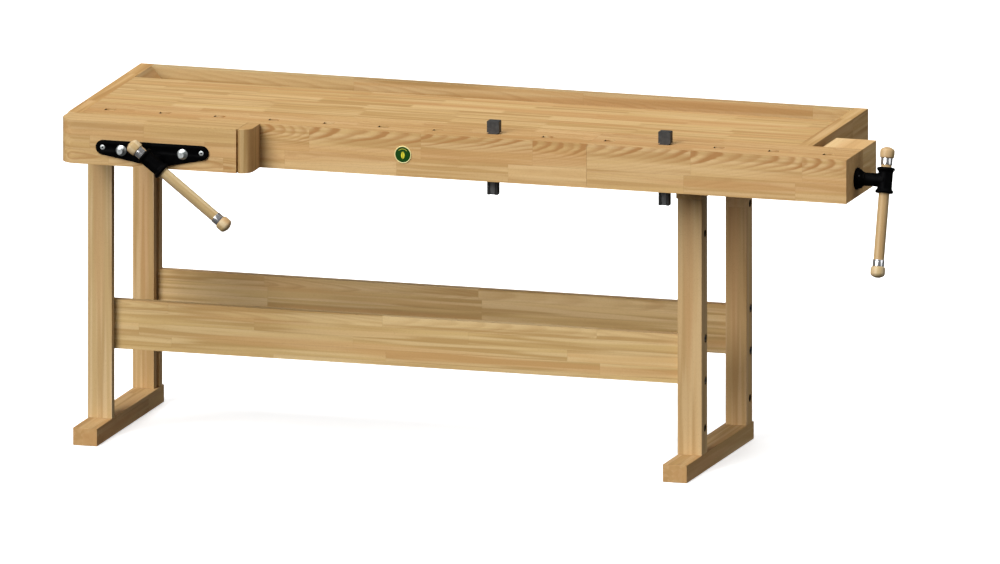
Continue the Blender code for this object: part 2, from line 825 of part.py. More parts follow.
def front_bar_axis():
    return (-math.cos(FRONT_TILT), 0.0, math.sin(FRONT_TILT))


def make_front_screw():
    neck = (FRONT_SCREW_X, PLATE_FRONT - GAP, FRONT_SCREW_Z)
    rod(
        "front_screw",
        (neck[0], neck[1] + GAP, neck[2]),
        (neck[0], GUIDE_END, neck[2]),
        SCREW_RADIUS,
        FRONT_SCREW,
        ZINC,
    )
    centre = (FRONT_SCREW_X, FRONT_HEAD_Y, FRONT_SCREW_Z)
    side = (0.0, -1.0, 0.0)
    axis = front_bar_axis()
    make_head("front_screw_head", centre, frame_along(axis, side), axis, neck, FRONT_SCREW)
    make_bar("front", centre, axis, side, STOP_DISTANCE + GAP, FRONT_BAR)


# Tail vise


def make_tail_jaw():
    back = PLANK_DEPTH - SLIDE
    arm = board(
        "tail_arm",
        (TAIL_LEFT, 0.0, RIM_BOTTOM),
        (TAIL_RIGHT, back, BENCH_HEIGHT),
        TAIL_JAW,
        BEECH,
    )
    cut(
        arm,
        "tail_dog_holes",
        lambda mesh: dog_holes_into(mesh, dog_hole_centres(FIRST_TAIL_HOLE, TAIL_HOLES)),
        TAIL_JAW,
    )
    cut(
        arm,
        "tail_hollow",
        lambda mesh: box_into(
            mesh,
            (HOLLOW_LEFT, HOLLOW_FRONT, RIM_BOTTOM - PAST),
            (TAIL_BLOCK_LEFT, back + PAST, HOLLOW_TOP),
        ),
        TAIL_JAW,
    )
    cut(
        arm,
        "tail_screw_bore",
        lambda mesh: rod_into(
            mesh,
            (TAIL_BLOCK_LEFT - PAST, TAIL_SCREW_Y, TAIL_SCREW_Z),
            (TAIL_RIGHT + PAST, TAIL_SCREW_Y, TAIL_SCREW_Z),
            SCREW_RADIUS + RUNNING,
        ),
        TAIL_JAW,
    )
    board(
        "tail_block",
        (TAIL_BLOCK_LEFT, back + GAP, RIM_BOTTOM),
        (TAIL_RIGHT, TAIL_BLOCK_BACK, BENCH_HEIGHT),
        TAIL_JAW,
        BEECH,
    )
    board(
        "tail_runner",
        (RUNNER_LEFT, back + GAP, RUNNER_LOW),
        (RUNNER_RIGHT, RUNNER_BACK, RUNNER_HIGH),
        TAIL_JAW,
        BEECH,
    )
    flange = [
        (FLANGE_RADIUS, FLANGE_THICK),
        (FLANGE_RADIUS, 0.0),
        (SCREW_RADIUS + RUNNING, 0.0),
        (SCREW_RADIUS + RUNNING, FLANGE_LENGTH),
        (NECK_RADIUS, FLANGE_LENGTH),
    ]
    face = (TAIL_RIGHT + GAP, TAIL_SCREW_Y, TAIL_SCREW_Z)
    turn = frame_along((1.0, 0.0, 0.0), (0.0, 0.0, 1.0))
    turned("tail_flange", flange, face, turn, TAIL_JAW, BLACK, closed=True)


def tail_bar_axis():
    return (0.0, math.sin(TAIL_TILT), math.cos(TAIL_TILT))


def make_tail_screw():
    neck_x = TAIL_RIGHT + 2 * GAP + FLANGE_LENGTH
    neck = (neck_x, TAIL_SCREW_Y, TAIL_SCREW_Z)
    rod(
        "tail_screw",
        (neck_x - GAP, TAIL_SCREW_Y, TAIL_SCREW_Z),
        (TAIL_SCREW_END, TAIL_SCREW_Y, TAIL_SCREW_Z),
        SCREW_RADIUS,
        TAIL_SCREW,
        ZINC,
    )
    centre = (TAIL_HEAD_X, TAIL_SCREW_Y, TAIL_SCREW_Z)
    side = (1.0, 0.0, 0.0)
    axis = tail_bar_axis()
    make_head("tail_screw_head", centre, frame_along(axis, side), axis, neck, TAIL_SCREW)
    make_bar("tail", centre, axis, side, STOP_DISTANCE + GAP + TAIL_BAR_LIFT, TAIL_BAR)


def make_tail_nut():
    """The nut block on the right end cap's inner front corner, inside the tail vise's hollow."""
    back = PLANK_DEPTH
    low = (TOP_LENGTH - TAIL_NUT[0], back - TAIL_NUT[1], TAIL_SCREW_Z - TAIL_NUT[2] / 2)
    high = (TOP_LENGTH, back, TAIL_SCREW_Z + TAIL_NUT[2] / 2)
    nut = board("tail_vise_nut", low, high, BENCH, BLACK)
    cut(
        nut,
        "tail_nut_bore",
        lambda mesh: rod_into(
            mesh,
            (low[0] - PAST, TAIL_SCREW_Y, TAIL_SCREW_Z),
            (high[0] + PAST, TAIL_SCREW_Y, TAIL_SCREW_Z),
            SCREW_RADIUS + RUNNING,
        ),
        BENCH,
    )


# Bench dogs


def make_dog(side, x, carrier):
    """A steel dog: a square shank with a spring let into its front, under a wider head."""
    base = BENCH_HEIGHT + GAP
    head_x = x + DOG_HEAD_SHIFT
    half = DOG_HEAD[0] / 2
    mesh = bmesh.new()
    box_into(
        mesh,
        (head_x - half, DOG_HOLE_Y - DOG_HEAD[1] / 2, base),
        (head_x + half, DOG_HOLE_Y + DOG_HEAD[1] / 2, base + DOG_HEAD[2]),
    )
    top_edges = [
        edge
        for edge in mesh.edges
        if all(v.co.z > base + GAP for v in edge.verts)
        and abs(edge.verts[0].co.x - edge.verts[1].co.x) < GAP
    ]
    bmesh.ops.bevel(
        mesh,
        geom=top_edges,
        offset=DOG_HEAD_ROUND,
        segments=DOG_HEAD_SEGMENTS,
        profile=0.5,
        affect="EDGES",
    )
    origin = (x, DOG_HOLE_Y, BENCH_HEIGHT)
    dog = finish_object(f"dog_{side}", mesh, origin, carrier, DARK_STEEL, PARTS)
    shank_front = DOG_HOLE_Y - DOG_SHANK[1] / 2
    shank_end = RIM_BOTTOM - DOG_BELOW

    def shank(mesh):
        box_into(
            mesh,
            (x - DOG_SHANK[0] / 2, shank_front, shank_end),
            (x + DOG_SHANK[0] / 2, shank_front + DOG_SHANK[1], base + PAST),
        )

    def channel(mesh):
        half_width = DOG_CHANNEL[0] / 2
        box_into(
            mesh,
            (x - half_width, shank_front - PAST, shank_end - PAST),
            (x + half_width, shank_front + DOG_CHANNEL[1], BENCH_HEIGHT - DOG_HEAD[2]),
        )

    join(dog, f"dog_{side}_shank", shank, carrier)
    cut(dog, f"dog_{side}_channel", channel, carrier)
    make_dog_spring(side, x, shank_front + DOG_CHANNEL[1] - GAP, shank_end + DOG_SPRING_RAISE, carrier)


def make_dog_spring(side, x, back, low, carrier):
    """A flat spring, bowed a little towards the front of the channel."""
    width, thick, long = DOG_SPRING
    mesh = bmesh.new()
    box_into(mesh, (x - width / 2, back - thick, low), (x + width / 2, back, low + long))
    upright = [e for e in mesh.edges if e.calc_length() > long / 2]
    bmesh.ops.subdivide_edges(mesh, edges=upright, cuts=DOG_SPRING_STEPS - 1, use_grid_fill=True)
    for v in mesh.verts:
        v.co.y -= DOG_SPRING_BOW * math.sin(math.pi * (v.co.z - low) / long)
    finish_object(f"dog_spring_{side}", mesh, (x, back, low), carrier, DARK_STEEL, PARTS)


clear_scene()
PARTS = new_collection(COLLECTION)
CUTTERS = new_collection(COLLECTION + "_cutters")
BEECH = new_material("beech", (0.62, 0.42, 0.22), 0.5, 0.0)
BAR_BEECH = new_material("bar_beech", (0.66, 0.47, 0.27), 0.4, 0.0)
BLACK = new_material("black_cast", (0.012, 0.012, 0.013), 0.45, 0.0)
ZINC = new_material("zinc_steel", (0.62, 0.64, 0.64), 0.35, 1.0)
BRIGHT = new_material("bright_steel", (0.72, 0.72, 0.73), 0.22, 1.0)
DARK_STEEL = new_material("dark_steel", (0.075, 0.08, 0.085), 0.45, 0.6)
GREEN = new_material("badge_enamel", (0.02, 0.16, 0.04), 0.3, 0.0)

BENCH = new_carrier("bench", (0.0, 0.0, 0.0))
FRONT_JAW = new_carrier("front_jaw_carrier", (FRONT_SCREW_X, 0.0, FRONT_SCREW_Z), BENCH)
FRONT_SCREW = new_carrier("front_screw_carrier", (FRONT_SCREW_X, FRONT_HEAD_Y, FRONT_SCREW_Z), FRONT_JAW)
FRONT_BAR = new_carrier("front_bar_carrier", (FRONT_SCREW_X, FRONT_HEAD_Y, FRONT_SCREW_Z), FRONT_SCREW)
TAIL_JAW = new_carrier("tail_jaw_carrier", (TAIL_LEFT, TAIL_SCREW_Y, TAIL_SCREW_Z), BENCH)
TAIL_SCREW = new_carrier("tail_screw_carrier", (TAIL_HEAD_X, TAIL_SCREW_Y, TAIL_SCREW_Z), TAIL_JAW)
TAIL_BAR = new_carrier("tail_bar_carrier", (TAIL_HEAD_X, TAIL_SCREW_Y, TAIL_SCREW_Z), TAIL_SCREW)
DOG_LEFT = new_carrier("dog_left_carrier", (DOG_LEFT_X, DOG_HOLE_Y, BENCH_HEIGHT), BENCH)
DOG_RIGHT = new_carrier("dog_right_carrier", (DOG_RIGHT_X, DOG_HOLE_Y, BENCH_HEIGHT), TAIL_JAW)

make_plank()
make_slab()
make_rim()
make_tray()
make_badge()
make_frames()
make_stretchers()
make_front_nut()
make_tail_nut()
make_front_jaw()
make_front_plate()
make_guide_bars()
make_front_screw()
make_tail_jaw()
make_tail_screw()
make_dog("left", DOG_LEFT_X, DOG_LEFT)
make_dog("right", DOG_RIGHT_X, DOG_RIGHT)
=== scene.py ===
"""The looks of the joiner's workbench: beech with its staves, finger joints and growth rings, oiled
turned bars, black cast vise heads, threaded screws, zinc-plated bolts and steel bench dogs.

Lengths are in metres. Wooden boards and the vise nuts keep their CAD meshes, with softened edges. What
is turned, cast, threaded or bolted is built here in fine meshes that stand where the CAD solids are."""

import json
import math

import bmesh
import bpy
from mathutils import Matrix, Vector

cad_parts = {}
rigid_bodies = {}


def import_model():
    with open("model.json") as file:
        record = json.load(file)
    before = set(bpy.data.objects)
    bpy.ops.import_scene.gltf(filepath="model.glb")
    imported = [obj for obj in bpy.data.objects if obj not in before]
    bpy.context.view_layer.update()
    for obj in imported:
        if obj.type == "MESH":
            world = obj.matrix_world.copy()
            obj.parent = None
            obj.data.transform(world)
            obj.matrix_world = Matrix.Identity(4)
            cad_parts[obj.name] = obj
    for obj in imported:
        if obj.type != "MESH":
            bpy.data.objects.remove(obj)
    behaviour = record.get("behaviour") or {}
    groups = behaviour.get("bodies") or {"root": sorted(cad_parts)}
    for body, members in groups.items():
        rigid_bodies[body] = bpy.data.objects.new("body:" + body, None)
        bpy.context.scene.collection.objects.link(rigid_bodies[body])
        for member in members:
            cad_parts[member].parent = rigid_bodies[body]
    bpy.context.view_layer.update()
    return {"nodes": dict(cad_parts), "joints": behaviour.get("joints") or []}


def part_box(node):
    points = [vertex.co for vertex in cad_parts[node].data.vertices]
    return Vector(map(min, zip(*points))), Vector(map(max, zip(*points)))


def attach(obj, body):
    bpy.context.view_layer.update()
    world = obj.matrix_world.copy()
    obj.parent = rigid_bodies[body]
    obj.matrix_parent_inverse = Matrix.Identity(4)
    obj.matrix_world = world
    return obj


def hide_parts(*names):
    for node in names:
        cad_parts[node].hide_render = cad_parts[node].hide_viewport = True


for default_object in list(bpy.data.objects):
    bpy.data.objects.remove(default_object, do_unlink=True)

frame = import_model()
NODES = frame["nodes"]
JOINTS = {joint["name"]: joint for joint in frame["joints"]}
BENCH_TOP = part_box("dog_hole_plank")[1].z

X, Y, Z = Vector((1, 0, 0)), Vector((0, 1, 0)), Vector((0, 0, 1))
IN_PLACE = Matrix.Identity(4)
SIDES = ("left", "right")

# Camera
VIEW_AZIMUTH = math.radians(17.03)
VIEW_ELEVATION = math.radians(11.79)
VIEW_WIDTH = 2.5
VIEW_CENTRE = Vector((-0.0587, 0.1621, 0.4071))
VIEW_DISTANCE = 12.0

# Boards
SOFT_EDGE = 0.001
CAST_EDGE = 0.0008
FLUSH_EDGE = 0.00015  # where boards meet in one plane
FLUSH_BOARDS = ("dog_hole_plank", "tail_arm", "tail_block", "bench_slab", "end_cap_left", "end_cap_right")
DOG_HOLE_BOARDS = ("dog_hole_plank", "tail_arm")
CALM_BOARDS = ("dog_hole_plank", "tail_arm", "front_jaw", "tail_block")
CALM_STREAKS = 0.75  # they and the legs are cut from calmer wood
INSIDE_BOARD = (0.005, 0.005)  # a face further in than this is in a hole
HOLED_SIDE = (0.0015, 0.009)  # a leg's holes open on its outer side, and its rebate is on the inner one
STAVE_OFFSET = 0.0012  # keeps a board's own faces off the staves' boundaries
TOP_ROW = 3.0  # of the staves in an upright board

FINE = 64  # steps round a turned piece
SHARP = 30.0  # edges over this many degrees are shaded sharp
SAME = 0.00001  # points closer than this are one point
CLEAR = 0.0003  # between a moving piece and what it moves in


# Sums in node trees


def math_node(operation):
    """A method of Value that adds one Math node."""
    return lambda value, *others: value.math(operation, *others)


class Value:
    """An output socket that can be used in sums. Its tree gets a Math node for each step."""

    def __init__(self, socket):
        self.socket = socket
        self.tree = socket.id_data

    def math(self, operation, *others):
        node = self.tree.nodes.new("ShaderNodeMath")
        node.operation = operation
        for slot, item in zip(node.inputs, (self, *others)):
            plug(self.tree, slot, item)
        return Value(node.outputs[0])

    __add__ = math_node("ADD")
    __sub__ = math_node("SUBTRACT")
    __mul__ = math_node("MULTIPLY")
    __truediv__ = math_node("DIVIDE")
    floor = math_node("FLOOR")
    fraction = math_node("FRACT")
    size = math_node("ABSOLUTE")
    root = math_node("SQRT")

    def step(self, low, high, to_low=0.0, to_high=1.0):
        """Rises smoothly from to_low at low to to_high at high."""
        node = self.tree.nodes.new("ShaderNodeMapRange")
        node.interpolation_type = "SMOOTHSTEP"
        for slot, item in zip(node.inputs, (self, low, high, to_low, to_high)):
            plug(self.tree, slot, item)
        return Value(node.outputs["Result"])


def plug(tree, slot, item):
    """Links a Value into a socket, or writes a plain number or colour there."""
    if isinstance(item, Value):
        tree.links.new(item.socket, slot)
    elif isinstance(item, (tuple, list)) and len(slot.default_value) == 4:
        slot.default_value = (*item[:3], 1.0)
    else:
        slot.default_value = item


def combine(tree, x, y, z):
    node = tree.nodes.new("ShaderNodeCombineXYZ")
    for slot, item in zip(node.inputs, (x, y, z)):
        plug(tree, slot, item)
    return Value(node.outputs[0])


def separate(vector):
    node = vector.tree.nodes.new("ShaderNodeSeparateXYZ")
    plug(vector.tree, node.inputs[0], vector)
    return [Value(out) for out in node.outputs]


def noise(vector, scale=1.0, detail=2.0, roughness=0.5):
    node = vector.tree.nodes.new("ShaderNodeTexNoise")
    plug(vector.tree, node.inputs["Vector"], vector)
    node.inputs["Scale"].default_value = scale
    node.inputs["Detail"].default_value = detail
    node.inputs["Roughness"].default_value = roughness
    return Value(node.outputs["Fac"])


def random_three(vector):
    """Three random numbers for each whole-numbered point."""
    node = vector.tree.nodes.new("ShaderNodeTexWhiteNoise")
    plug(vector.tree, node.inputs["Vector"], vector)
    return separate(Value(node.outputs["Color"]))


def blend(factor, first, second, mode="MIX"):
    """A mix of two colours. The factor or the first colour is a Value."""
    tree = factor.tree if isinstance(factor, Value) else first.tree
    node = tree.nodes.new("ShaderNodeMix")
    node.data_type = "RGBA"
    node.blend_type = mode
    plug(tree, node.inputs["Factor"], factor)
    plug(tree, node.inputs[6], first)
    plug(tree, node.inputs[7], second)
    return Value(node.outputs[2])


def ramp(factor, stops):
    """A colour from (place, colour) stops."""
    node = factor.tree.nodes.new("ShaderNodeValToRGB")
    plug(factor.tree, node.inputs[0], factor)
    keys = node.color_ramp.elements
    while len(keys) < len(stops):
        keys.new(0.5)
    for key, (place, colour) in zip(keys, stops):
        key.position = place
        key.color = (*colour, 1.0)
    return Value(node.outputs["Color"])


def shader_material(name, metallic=0.0, coat=0.0, specular=0.5):
    """A material, its tree and its Principled shader."""
    made = bpy.data.materials.new(name)
    made.use_nodes = True
    shader = made.node_tree.nodes["Principled BSDF"]
    shader.inputs["Metallic"].default_value = metallic
    shader.inputs["Coat Weight"].default_value = coat
    shader.inputs["Coat Roughness"].default_value = 0.25
    shader.inputs["Specular IOR Level"].default_value = specular
    return made, made.node_tree, shader


def object_coordinates(tree):
    return Value(tree.nodes.new("ShaderNodeTexCoord").outputs["Object"])


def object_normal(tree):
    return Value(tree.nodes.new("ShaderNodeTexCoord").outputs["Normal"])


def connect(shader, colour, roughness, height=None, depth=0.0, strength=0.0):
    """Gives a shader its colour and roughness, and a bump of the given depth where there is a height."""
    tree = shader.id_data
    plug(tree, shader.inputs["Base Color"], colour)
    plug(tree, shader.inputs["Roughness"], roughness)
    if height is not None:
        bump = tree.nodes.new("ShaderNodeBump")
        bump.inputs["Distance"].default_value = depth
        bump.inputs["Strength"].default_value = strength
        plug(tree, bump.inputs["Height"], height)
        plug(tree, shader.inputs["Normal"], Value(bump.outputs[0]))


# Beech

TONES = (
    (0.0, (0.452, 0.281, 0.11)),
    (0.25, (0.53, 0.344, 0.142)),
    (0.5, (0.576, 0.387, 0.169)),
    (0.75, (0.632, 0.437, 0.212)),
    (1.0, (0.592, 0.371, 0.165)),
)
DARK_STREAK = (0.423, 0.253, 0.094)
PALE_STREAK = (0.657, 0.467, 0.242)
RUDDY_STREAK = (0.534, 0.292, 0.118)
LATE_WOOD = (0.4, 0.205, 0.072)
PORES = (0.398, 0.233, 0.086)
RAY_FLECKS = (0.293, 0.155, 0.053)
END_GRAIN = (0.5, 0.3, 0.118)
GLUE = (0.3, 0.165, 0.06)
# painted shade for the walls of holes
HOLE_SHADE = (0.012, 0.007, 0.004)
PLAIN = (1.0, 1.0, 1.0)

FINGER_PITCH = 0.0038
FINGER_LONG = 0.018
LEAST_YEAR = 0.0028  # a growth ring's width
YEAR_VARIES = 0.002
PITH_AREA = (0.01, 0.044)  # rings fade out between these distances from the pith's line
GLUE_LINE = (0.0001, 0.0005)


def make_beech_group():
    """Staves side by side, each finger-jointed from blocks. A block is cut from its own log, so its growth
    rings are cylinders round a pith line that runs outside it at a slight slope: its flat-sawn face shows
    cathedrals, its quarter-sawn face straight lines and its end grain arcs. Position and Stave are (along,
    across, through). Pith is (where it lies across a stave, how far through, its slope), and each block
    varies it. One row shows its rings fully."""
    group = bpy.data.node_groups.new("beech", "ShaderNodeTree")
    for in_out, kind, names in (
        ("INPUT", "Vector", ("Position", "Stave", "Pith")),
        ("INPUT", "Float", ("End grain", "Seed", "Contrast", "Figured row", "Streaks", "Hole shade")),
        ("INPUT", "Color", ("Tint",)),
        ("OUTPUT", "Color", ("Color",)),
        ("OUTPUT", "Float", ("Roughness", "Height")),
    ):
        for name in names:
            group.interface.new_socket(name, in_out=in_out, socket_type="NodeSocket" + kind)
    inputs = group.nodes.new("NodeGroupInput")
    entry = {out.name: Value(out) for out in inputs.outputs if out.name}
    along, across, through = separate(entry["Position"])
    length, width, thick = separate(entry["Stave"])
    seed, contrast, end_grain = entry["Seed"], entry["Contrast"], entry["End grain"]

    row = (across / width).floor()
    layer = (through / thick).floor()
    stave_shift, _, _ = random_three(combine(group, row, layer, seed))
    fingers = (((through / FINGER_PITCH).fraction() - 0.5).size() - 0.25) * FINGER_LONG
    blocks = (along + fingers) / length + stave_shift * 7.0 + seed * 0.37
    block = blocks.floor()
    log, pith_far, ring_wide = random_three(combine(group, row + layer * 31.0, block, seed))
    stave_tone, _, _ = random_three(combine(group, row, layer + 9.0, seed + 20.0))
    tone = log * 0.55 + stave_tone * 0.45
    figured = (row - entry["Figured row"]).size().step(0.4, 0.6, 1.0, 0.0)
    pith_turn, slope, streaky = random_three(combine(group, row + layer * 31.0, block, seed + 40.0))

    def grain(along_scale, across_scale, shift=0.0, offset=0.0, detail=1.0, roughness=0.5):
        """Noise drawn out along the grain."""
        far = across * across_scale + shift
        place = combine(group, along * along_scale, far, through * across_scale + offset)
        return noise(place, detail=detail, roughness=roughness)

    # Distance from the pith, in metres
    slow = grain(5.0, 9.0)
    wavy = grain(30.0, 110.0, shift=row * 3.0, detail=2.0)
    pith_across, pith_through, pith_slope = separate(entry["Pith"])
    v = across - (row + 0.5) * width - pith_across + (pith_turn - 0.5) * 0.024
    w = through - (layer + 0.5) * thick + pith_through + pith_far * 0.03
    climb = along * (pith_slope * (figured * 0.9 + 0.1) + (slope - 0.5) * 0.04) + (slow - 0.5) * 0.014
    radius = (v * v + w * w).root() + climb + (wavy - 0.5) * 0.0022
    years = radius / (ring_wide * YEAR_VARIES + LEAST_YEAR) / (figured * 0.55 + 1.0)
    rings = years.fraction()
    bold, _, _ = random_three(combine(group, years.floor(), block, seed + 60.0))
    late = rings.step(0.15, 0.75) * rings.step(0.75, 1.0, 1.0, 0.0) * (bold * 0.7 + 0.3)
    near_pith = v.size().step(*PITH_AREA, 1.0, 0.15)

    # Streaks, ray flecks and pores
    fine = grain(3.0, 420.0, detail=3.0, roughness=0.6)
    broad = grain(1.6, 40.0, shift=block * 7.0)
    pale = grain(2.2, 75.0, shift=block * 3.0, offset=20.0)
    ruddy = grain(1.1, 22.0, offset=50.0)
    flecks = grain(260.0, 1900.0, detail=0.0).step(0.66, 0.74)

    colour = ramp(tone, TONES)
    for streak, starts, full, share, streak_colour in (
        (broad, 0.44, 0.6, 0.8, DARK_STREAK),
        (pale, 0.46, 0.62, 0.72, PALE_STREAK),
        (ruddy, 0.52, 0.66, 0.55, RUDDY_STREAK),
    ):
        colour = blend(streak.step(starts, full) * entry["Streaks"] * share, colour, streak_colour)
    ring_depth = contrast * near_pith * (streaky * 0.3 + 0.7) * (figured * 0.8 + 0.2)
    colour = blend(late * ring_depth * (end_grain * -0.7 + 1.0), colour, LATE_WOOD)
    colour = blend(fine.step(0.45, 0.75) * 0.15, colour, PORES)
    colour = blend(flecks * 0.35, colour, RAY_FLECKS)
    colour = blend(end_grain * 0.6, colour, END_GRAIN)

    # Glue lines between staves and at finger joints
    def seam(amount, size):
        return ((amount.fraction() - 0.5).size() * -1.0 + 0.5) * size

    across_gap = seam(across / width, width)
    through_gap = seam(through / thick, thick)
    block_gap = seam(blocks, length)
    nearest = across_gap.math("MINIMUM", through_gap).math("MINIMUM", block_gap)
    glue = nearest.step(*GLUE_LINE, 1.0, 0.0)
    colour = blend(glue * 0.35, colour, GLUE)

    colour = blend(1.0, colour, entry["Tint"], "MULTIPLY")
    # painted shade: the walls of holes go towards near black
    colour = blend(entry["Hole shade"], colour, HOLE_SHADE)

    roughness = fine * 0.12 + late * 0.04 + end_grain * 0.1 + 0.48
    height = fine * 0.6 + flecks * -0.5 + glue * -0.8 + late * 0.25

    outputs = group.nodes.new("NodeGroupOutput")
    for name, item in (("Color", colour), ("Roughness", roughness), ("Height", height)):
        plug(group, outputs.inputs[name], item)
    return group


BEECH = make_beech_group()


def beech(name, order, corner, stave, pith, seed, contrast, tint, coat=0.0, streaks=1.0, row=TOP_ROW):
    """Beech for one piece. Order says which of its own axes run along the grain, across a stave and
    through it, corner is where the staves start, and row is the one that shows its rings fully."""
    made, tree, shader = shader_material(name, coat=coat, specular=0.2)
    place = separate(object_coordinates(tree))
    facing = separate(object_normal(tree))
    wood = tree.nodes.new("ShaderNodeGroup")
    wood.node_tree = BEECH
    axes = ["XYZ".index(letter) for letter in order]
    shifted = [place[axis] - corner[axis] for axis in axes]
    plug(tree, wood.inputs["Position"], combine(tree, *shifted))
    for socket, value in (
        ("Stave", stave),
        ("Pith", pith),
        ("Seed", seed),
        ("Contrast", contrast),
        ("Streaks", streaks),
        ("Figured row", row),
        ("Tint", (*tint, 1.0)),
    ):
        wood.inputs[socket].default_value = value
    plug(tree, wood.inputs["End grain"], facing[axes[0]].size().step(0.93, 0.99))
    colour, roughness, height = (Value(wood.outputs[name]) for name in ("Color", "Roughness", "Height"))
    connect(shader, colour, roughness, height, depth=0.00012, strength=0.35)
    return made


def paint_hole_shade(material, low, high, margins, end_walls):
    """Paints shade on the walls of a board's holes, darkening them towards near black. They are its
    faces that lie further inside its box than the margins, which are given for the low and the high
    side along X and then along Y. Either those that face along the bench are meant, or the others."""
    tree = material.node_tree
    place = separate(object_coordinates(tree))
    along = separate(object_normal(tree))[0].size()
    inside = along.step(0.4, 0.6) if end_walls else along.step(0.4, 0.6, 1.0, 0.0)
    for axis, (by_low, by_high) in enumerate(margins):
        inside = inside * (place[axis] - low[axis]).step(by_low, by_low + 0.001)
        inside = inside * (place[axis] * -1.0 + high[axis]).step(by_high, by_high + 0.001)
    wood = next(node for node in tree.nodes if node.type == "GROUP")
    plug(tree, wood.inputs["Hole shade"], inside)


# Metals and enamel


def black_cast(name):
    made, tree, shader = shader_material(name, specular=0.015)
    place = object_coordinates(tree)
    grain = noise(place, scale=900.0, detail=3.0)
    patches = noise(place, scale=60.0, detail=2.0)
    colour = blend(patches.step(0.3, 0.8), (0.001, 0.001, 0.0012), (0.0022, 0.0022, 0.0024))
    connect(shader, colour, patches * 0.14 + 0.36, grain, depth=0.0002, strength=0.35)
    return made


def zinc(name, low, high):
    """Zinc plate. Where a head is hollowed below its own face, shade is painted: it is nearly black."""
    made, tree, shader = shader_material(name, metallic=1.0)
    place = object_coordinates(tree)
    x, y, z = separate(place)
    patches = noise(place, scale=140.0, detail=3.0)
    scratches = noise(place, scale=1400.0, detail=1.0)
    colour = blend(patches.step(0.3, 0.7), low, high)
    # painted shade in the socket, below the head's face and near its axis
    socket = z.step(-0.0012, -0.0002, 1.0, 0.0) * (x * x + y * y).root().step(0.0036, 0.0038, 1.0, 0.0)
    colour = blend(socket * 0.95, colour, (0.01, 0.01, 0.01))
    connect(shader, colour, patches * 0.12 + 0.36, scratches, depth=0.00003, strength=0.3)
    return made


def turned_steel(name, colour_low, colour_high, roughness, metallic=1.0):
    """Steel with fine turning marks round the piece's own Z axis."""
    made, tree, shader = shader_material(name, metallic=metallic)
    x, y, z = separate(object_coordinates(tree))
    marks = noise(combine(tree, x * 6.0, y * 6.0, z * 5000.0), detail=2.0)
    soil = noise(combine(tree, x * 90.0, y * 90.0, z * 90.0), detail=3.0)
    colour = blend(soil.step(0.3, 0.75), colour_low, colour_high)
    connect(shader, colour, soil * 0.1 + marks * 0.05 + roughness, marks, depth=0.000004, strength=0.25)
    return made


def dark_steel(name, colour_low, colour_high, shank_shade=0.0):
    """Blued steel, with painted shade: a dog's ends are darker than its face, and so is its shank, below
    the bench's top.
    """
    made, tree, shader = shader_material(name, specular=0.2)
    place = object_coordinates(tree)
    x, y, z = separate(place)
    mottle = noise(place, scale=120.0, detail=4.0)
    scratches = noise(combine(tree, x * 90.0, y * 90.0, z * 1500.0), detail=2.0)
    colour = blend(mottle.step(0.3, 0.75), colour_low, colour_high)
    colour = blend(scratches.step(0.62, 0.75) * 0.4, colour, (0.09, 0.088, 0.086))
    # painted shade: faces along X, and the shank below the top by shank_shade, go towards near black
    end = separate(object_normal(tree))[0].size().step(0.5, 0.8)
    sunk = z.step(BENCH_TOP - 0.012, BENCH_TOP - 0.002, shank_shade, 0.0)
    colour = blend(end.math("MAXIMUM", sunk) * 0.7, colour, (0.008, 0.008, 0.008))
    connect(shader, colour, mottle * 0.2 + 0.34, scratches, depth=0.00005, strength=0.3)
    return made


# Meshes


def mesh_data(name, mesh):
    """Mesh data with its faces turned outwards."""
    bmesh.ops.recalc_face_normals(mesh, faces=mesh.faces)
    data = bpy.data.meshes.new(name)
    mesh.to_mesh(data)
    mesh.free()
    return data


def new_object(name, data, place=IN_PLACE):
    made = bpy.data.objects.new(name, data)
    bpy.context.scene.collection.objects.link(made)
    made.matrix_world = place
    return made


def new_piece(name, mesh, material, body, replaced, place=IN_PLACE, sharp=SHARP):
    """A piece that rides on a body, takes its finish from a slot and stands for the replaced nodes."""
    data = mesh_data(name, mesh)
    data.shade_smooth()
    data.set_sharp_from_angle(angle=math.radians(sharp))
    data.materials.append(material)
    made = new_object(name, data, place)
    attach(made, body)
    if replaced:
        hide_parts(*replaced)
    return made


def frame_along(centre, axis, side):
    """A place whose local Z runs along axis and whose local X points to side."""
    z = Vector(axis).normalized()
    x = Vector(side) - z * Vector(side).dot(z)
    x.normalize()
    turn = Matrix((x, z.cross(x), z)).transposed().to_4x4()
    return Matrix.Translation(centre) @ turn


def lathe(profile, steps=FINE, closed=False):
    """A mesh of (radius, height) points turned round Z. Points on the axis close the ends."""
    mesh = bmesh.new()
    rings = []
    for radius, height in profile:
        ring = []
        for i in range(steps if radius > SAME else 1):
            angle = 2 * math.pi * i / steps
            spot = (radius * math.cos(angle), radius * math.sin(angle), height)
            ring.append(mesh.verts.new(spot))
        rings.append(ring)
    pairs = list(zip(rings, rings[1:]))
    if closed:
        pairs.append((rings[-1], rings[0]))
    for lower, upper in pairs:
        for i in range(steps):
            j = (i + 1) % steps
            corners = [ring[k % len(ring)] for ring, k in ((lower, i), (lower, j), (upper, j), (upper, i))]
            distinct = list(dict.fromkeys(corners))
            if len(distinct) > 2:
                mesh.faces.new(distinct)
    return mesh


def arc(centre, radius, start, end, steps):
    """Points on an arc in a profile, with angles in degrees from the outward direction towards up."""
    return [
        (
            centre[0] + radius * math.cos(math.radians(start + (end - start) * i / steps)),
            centre[1] + radius * math.sin(math.radians(start + (end - start) * i / steps)),
        )
        for i in range(steps + 1)
    ]


def box_centre(node):
    low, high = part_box(node)
    return (low + high) / 2


# Modifiers

HELPERS = []


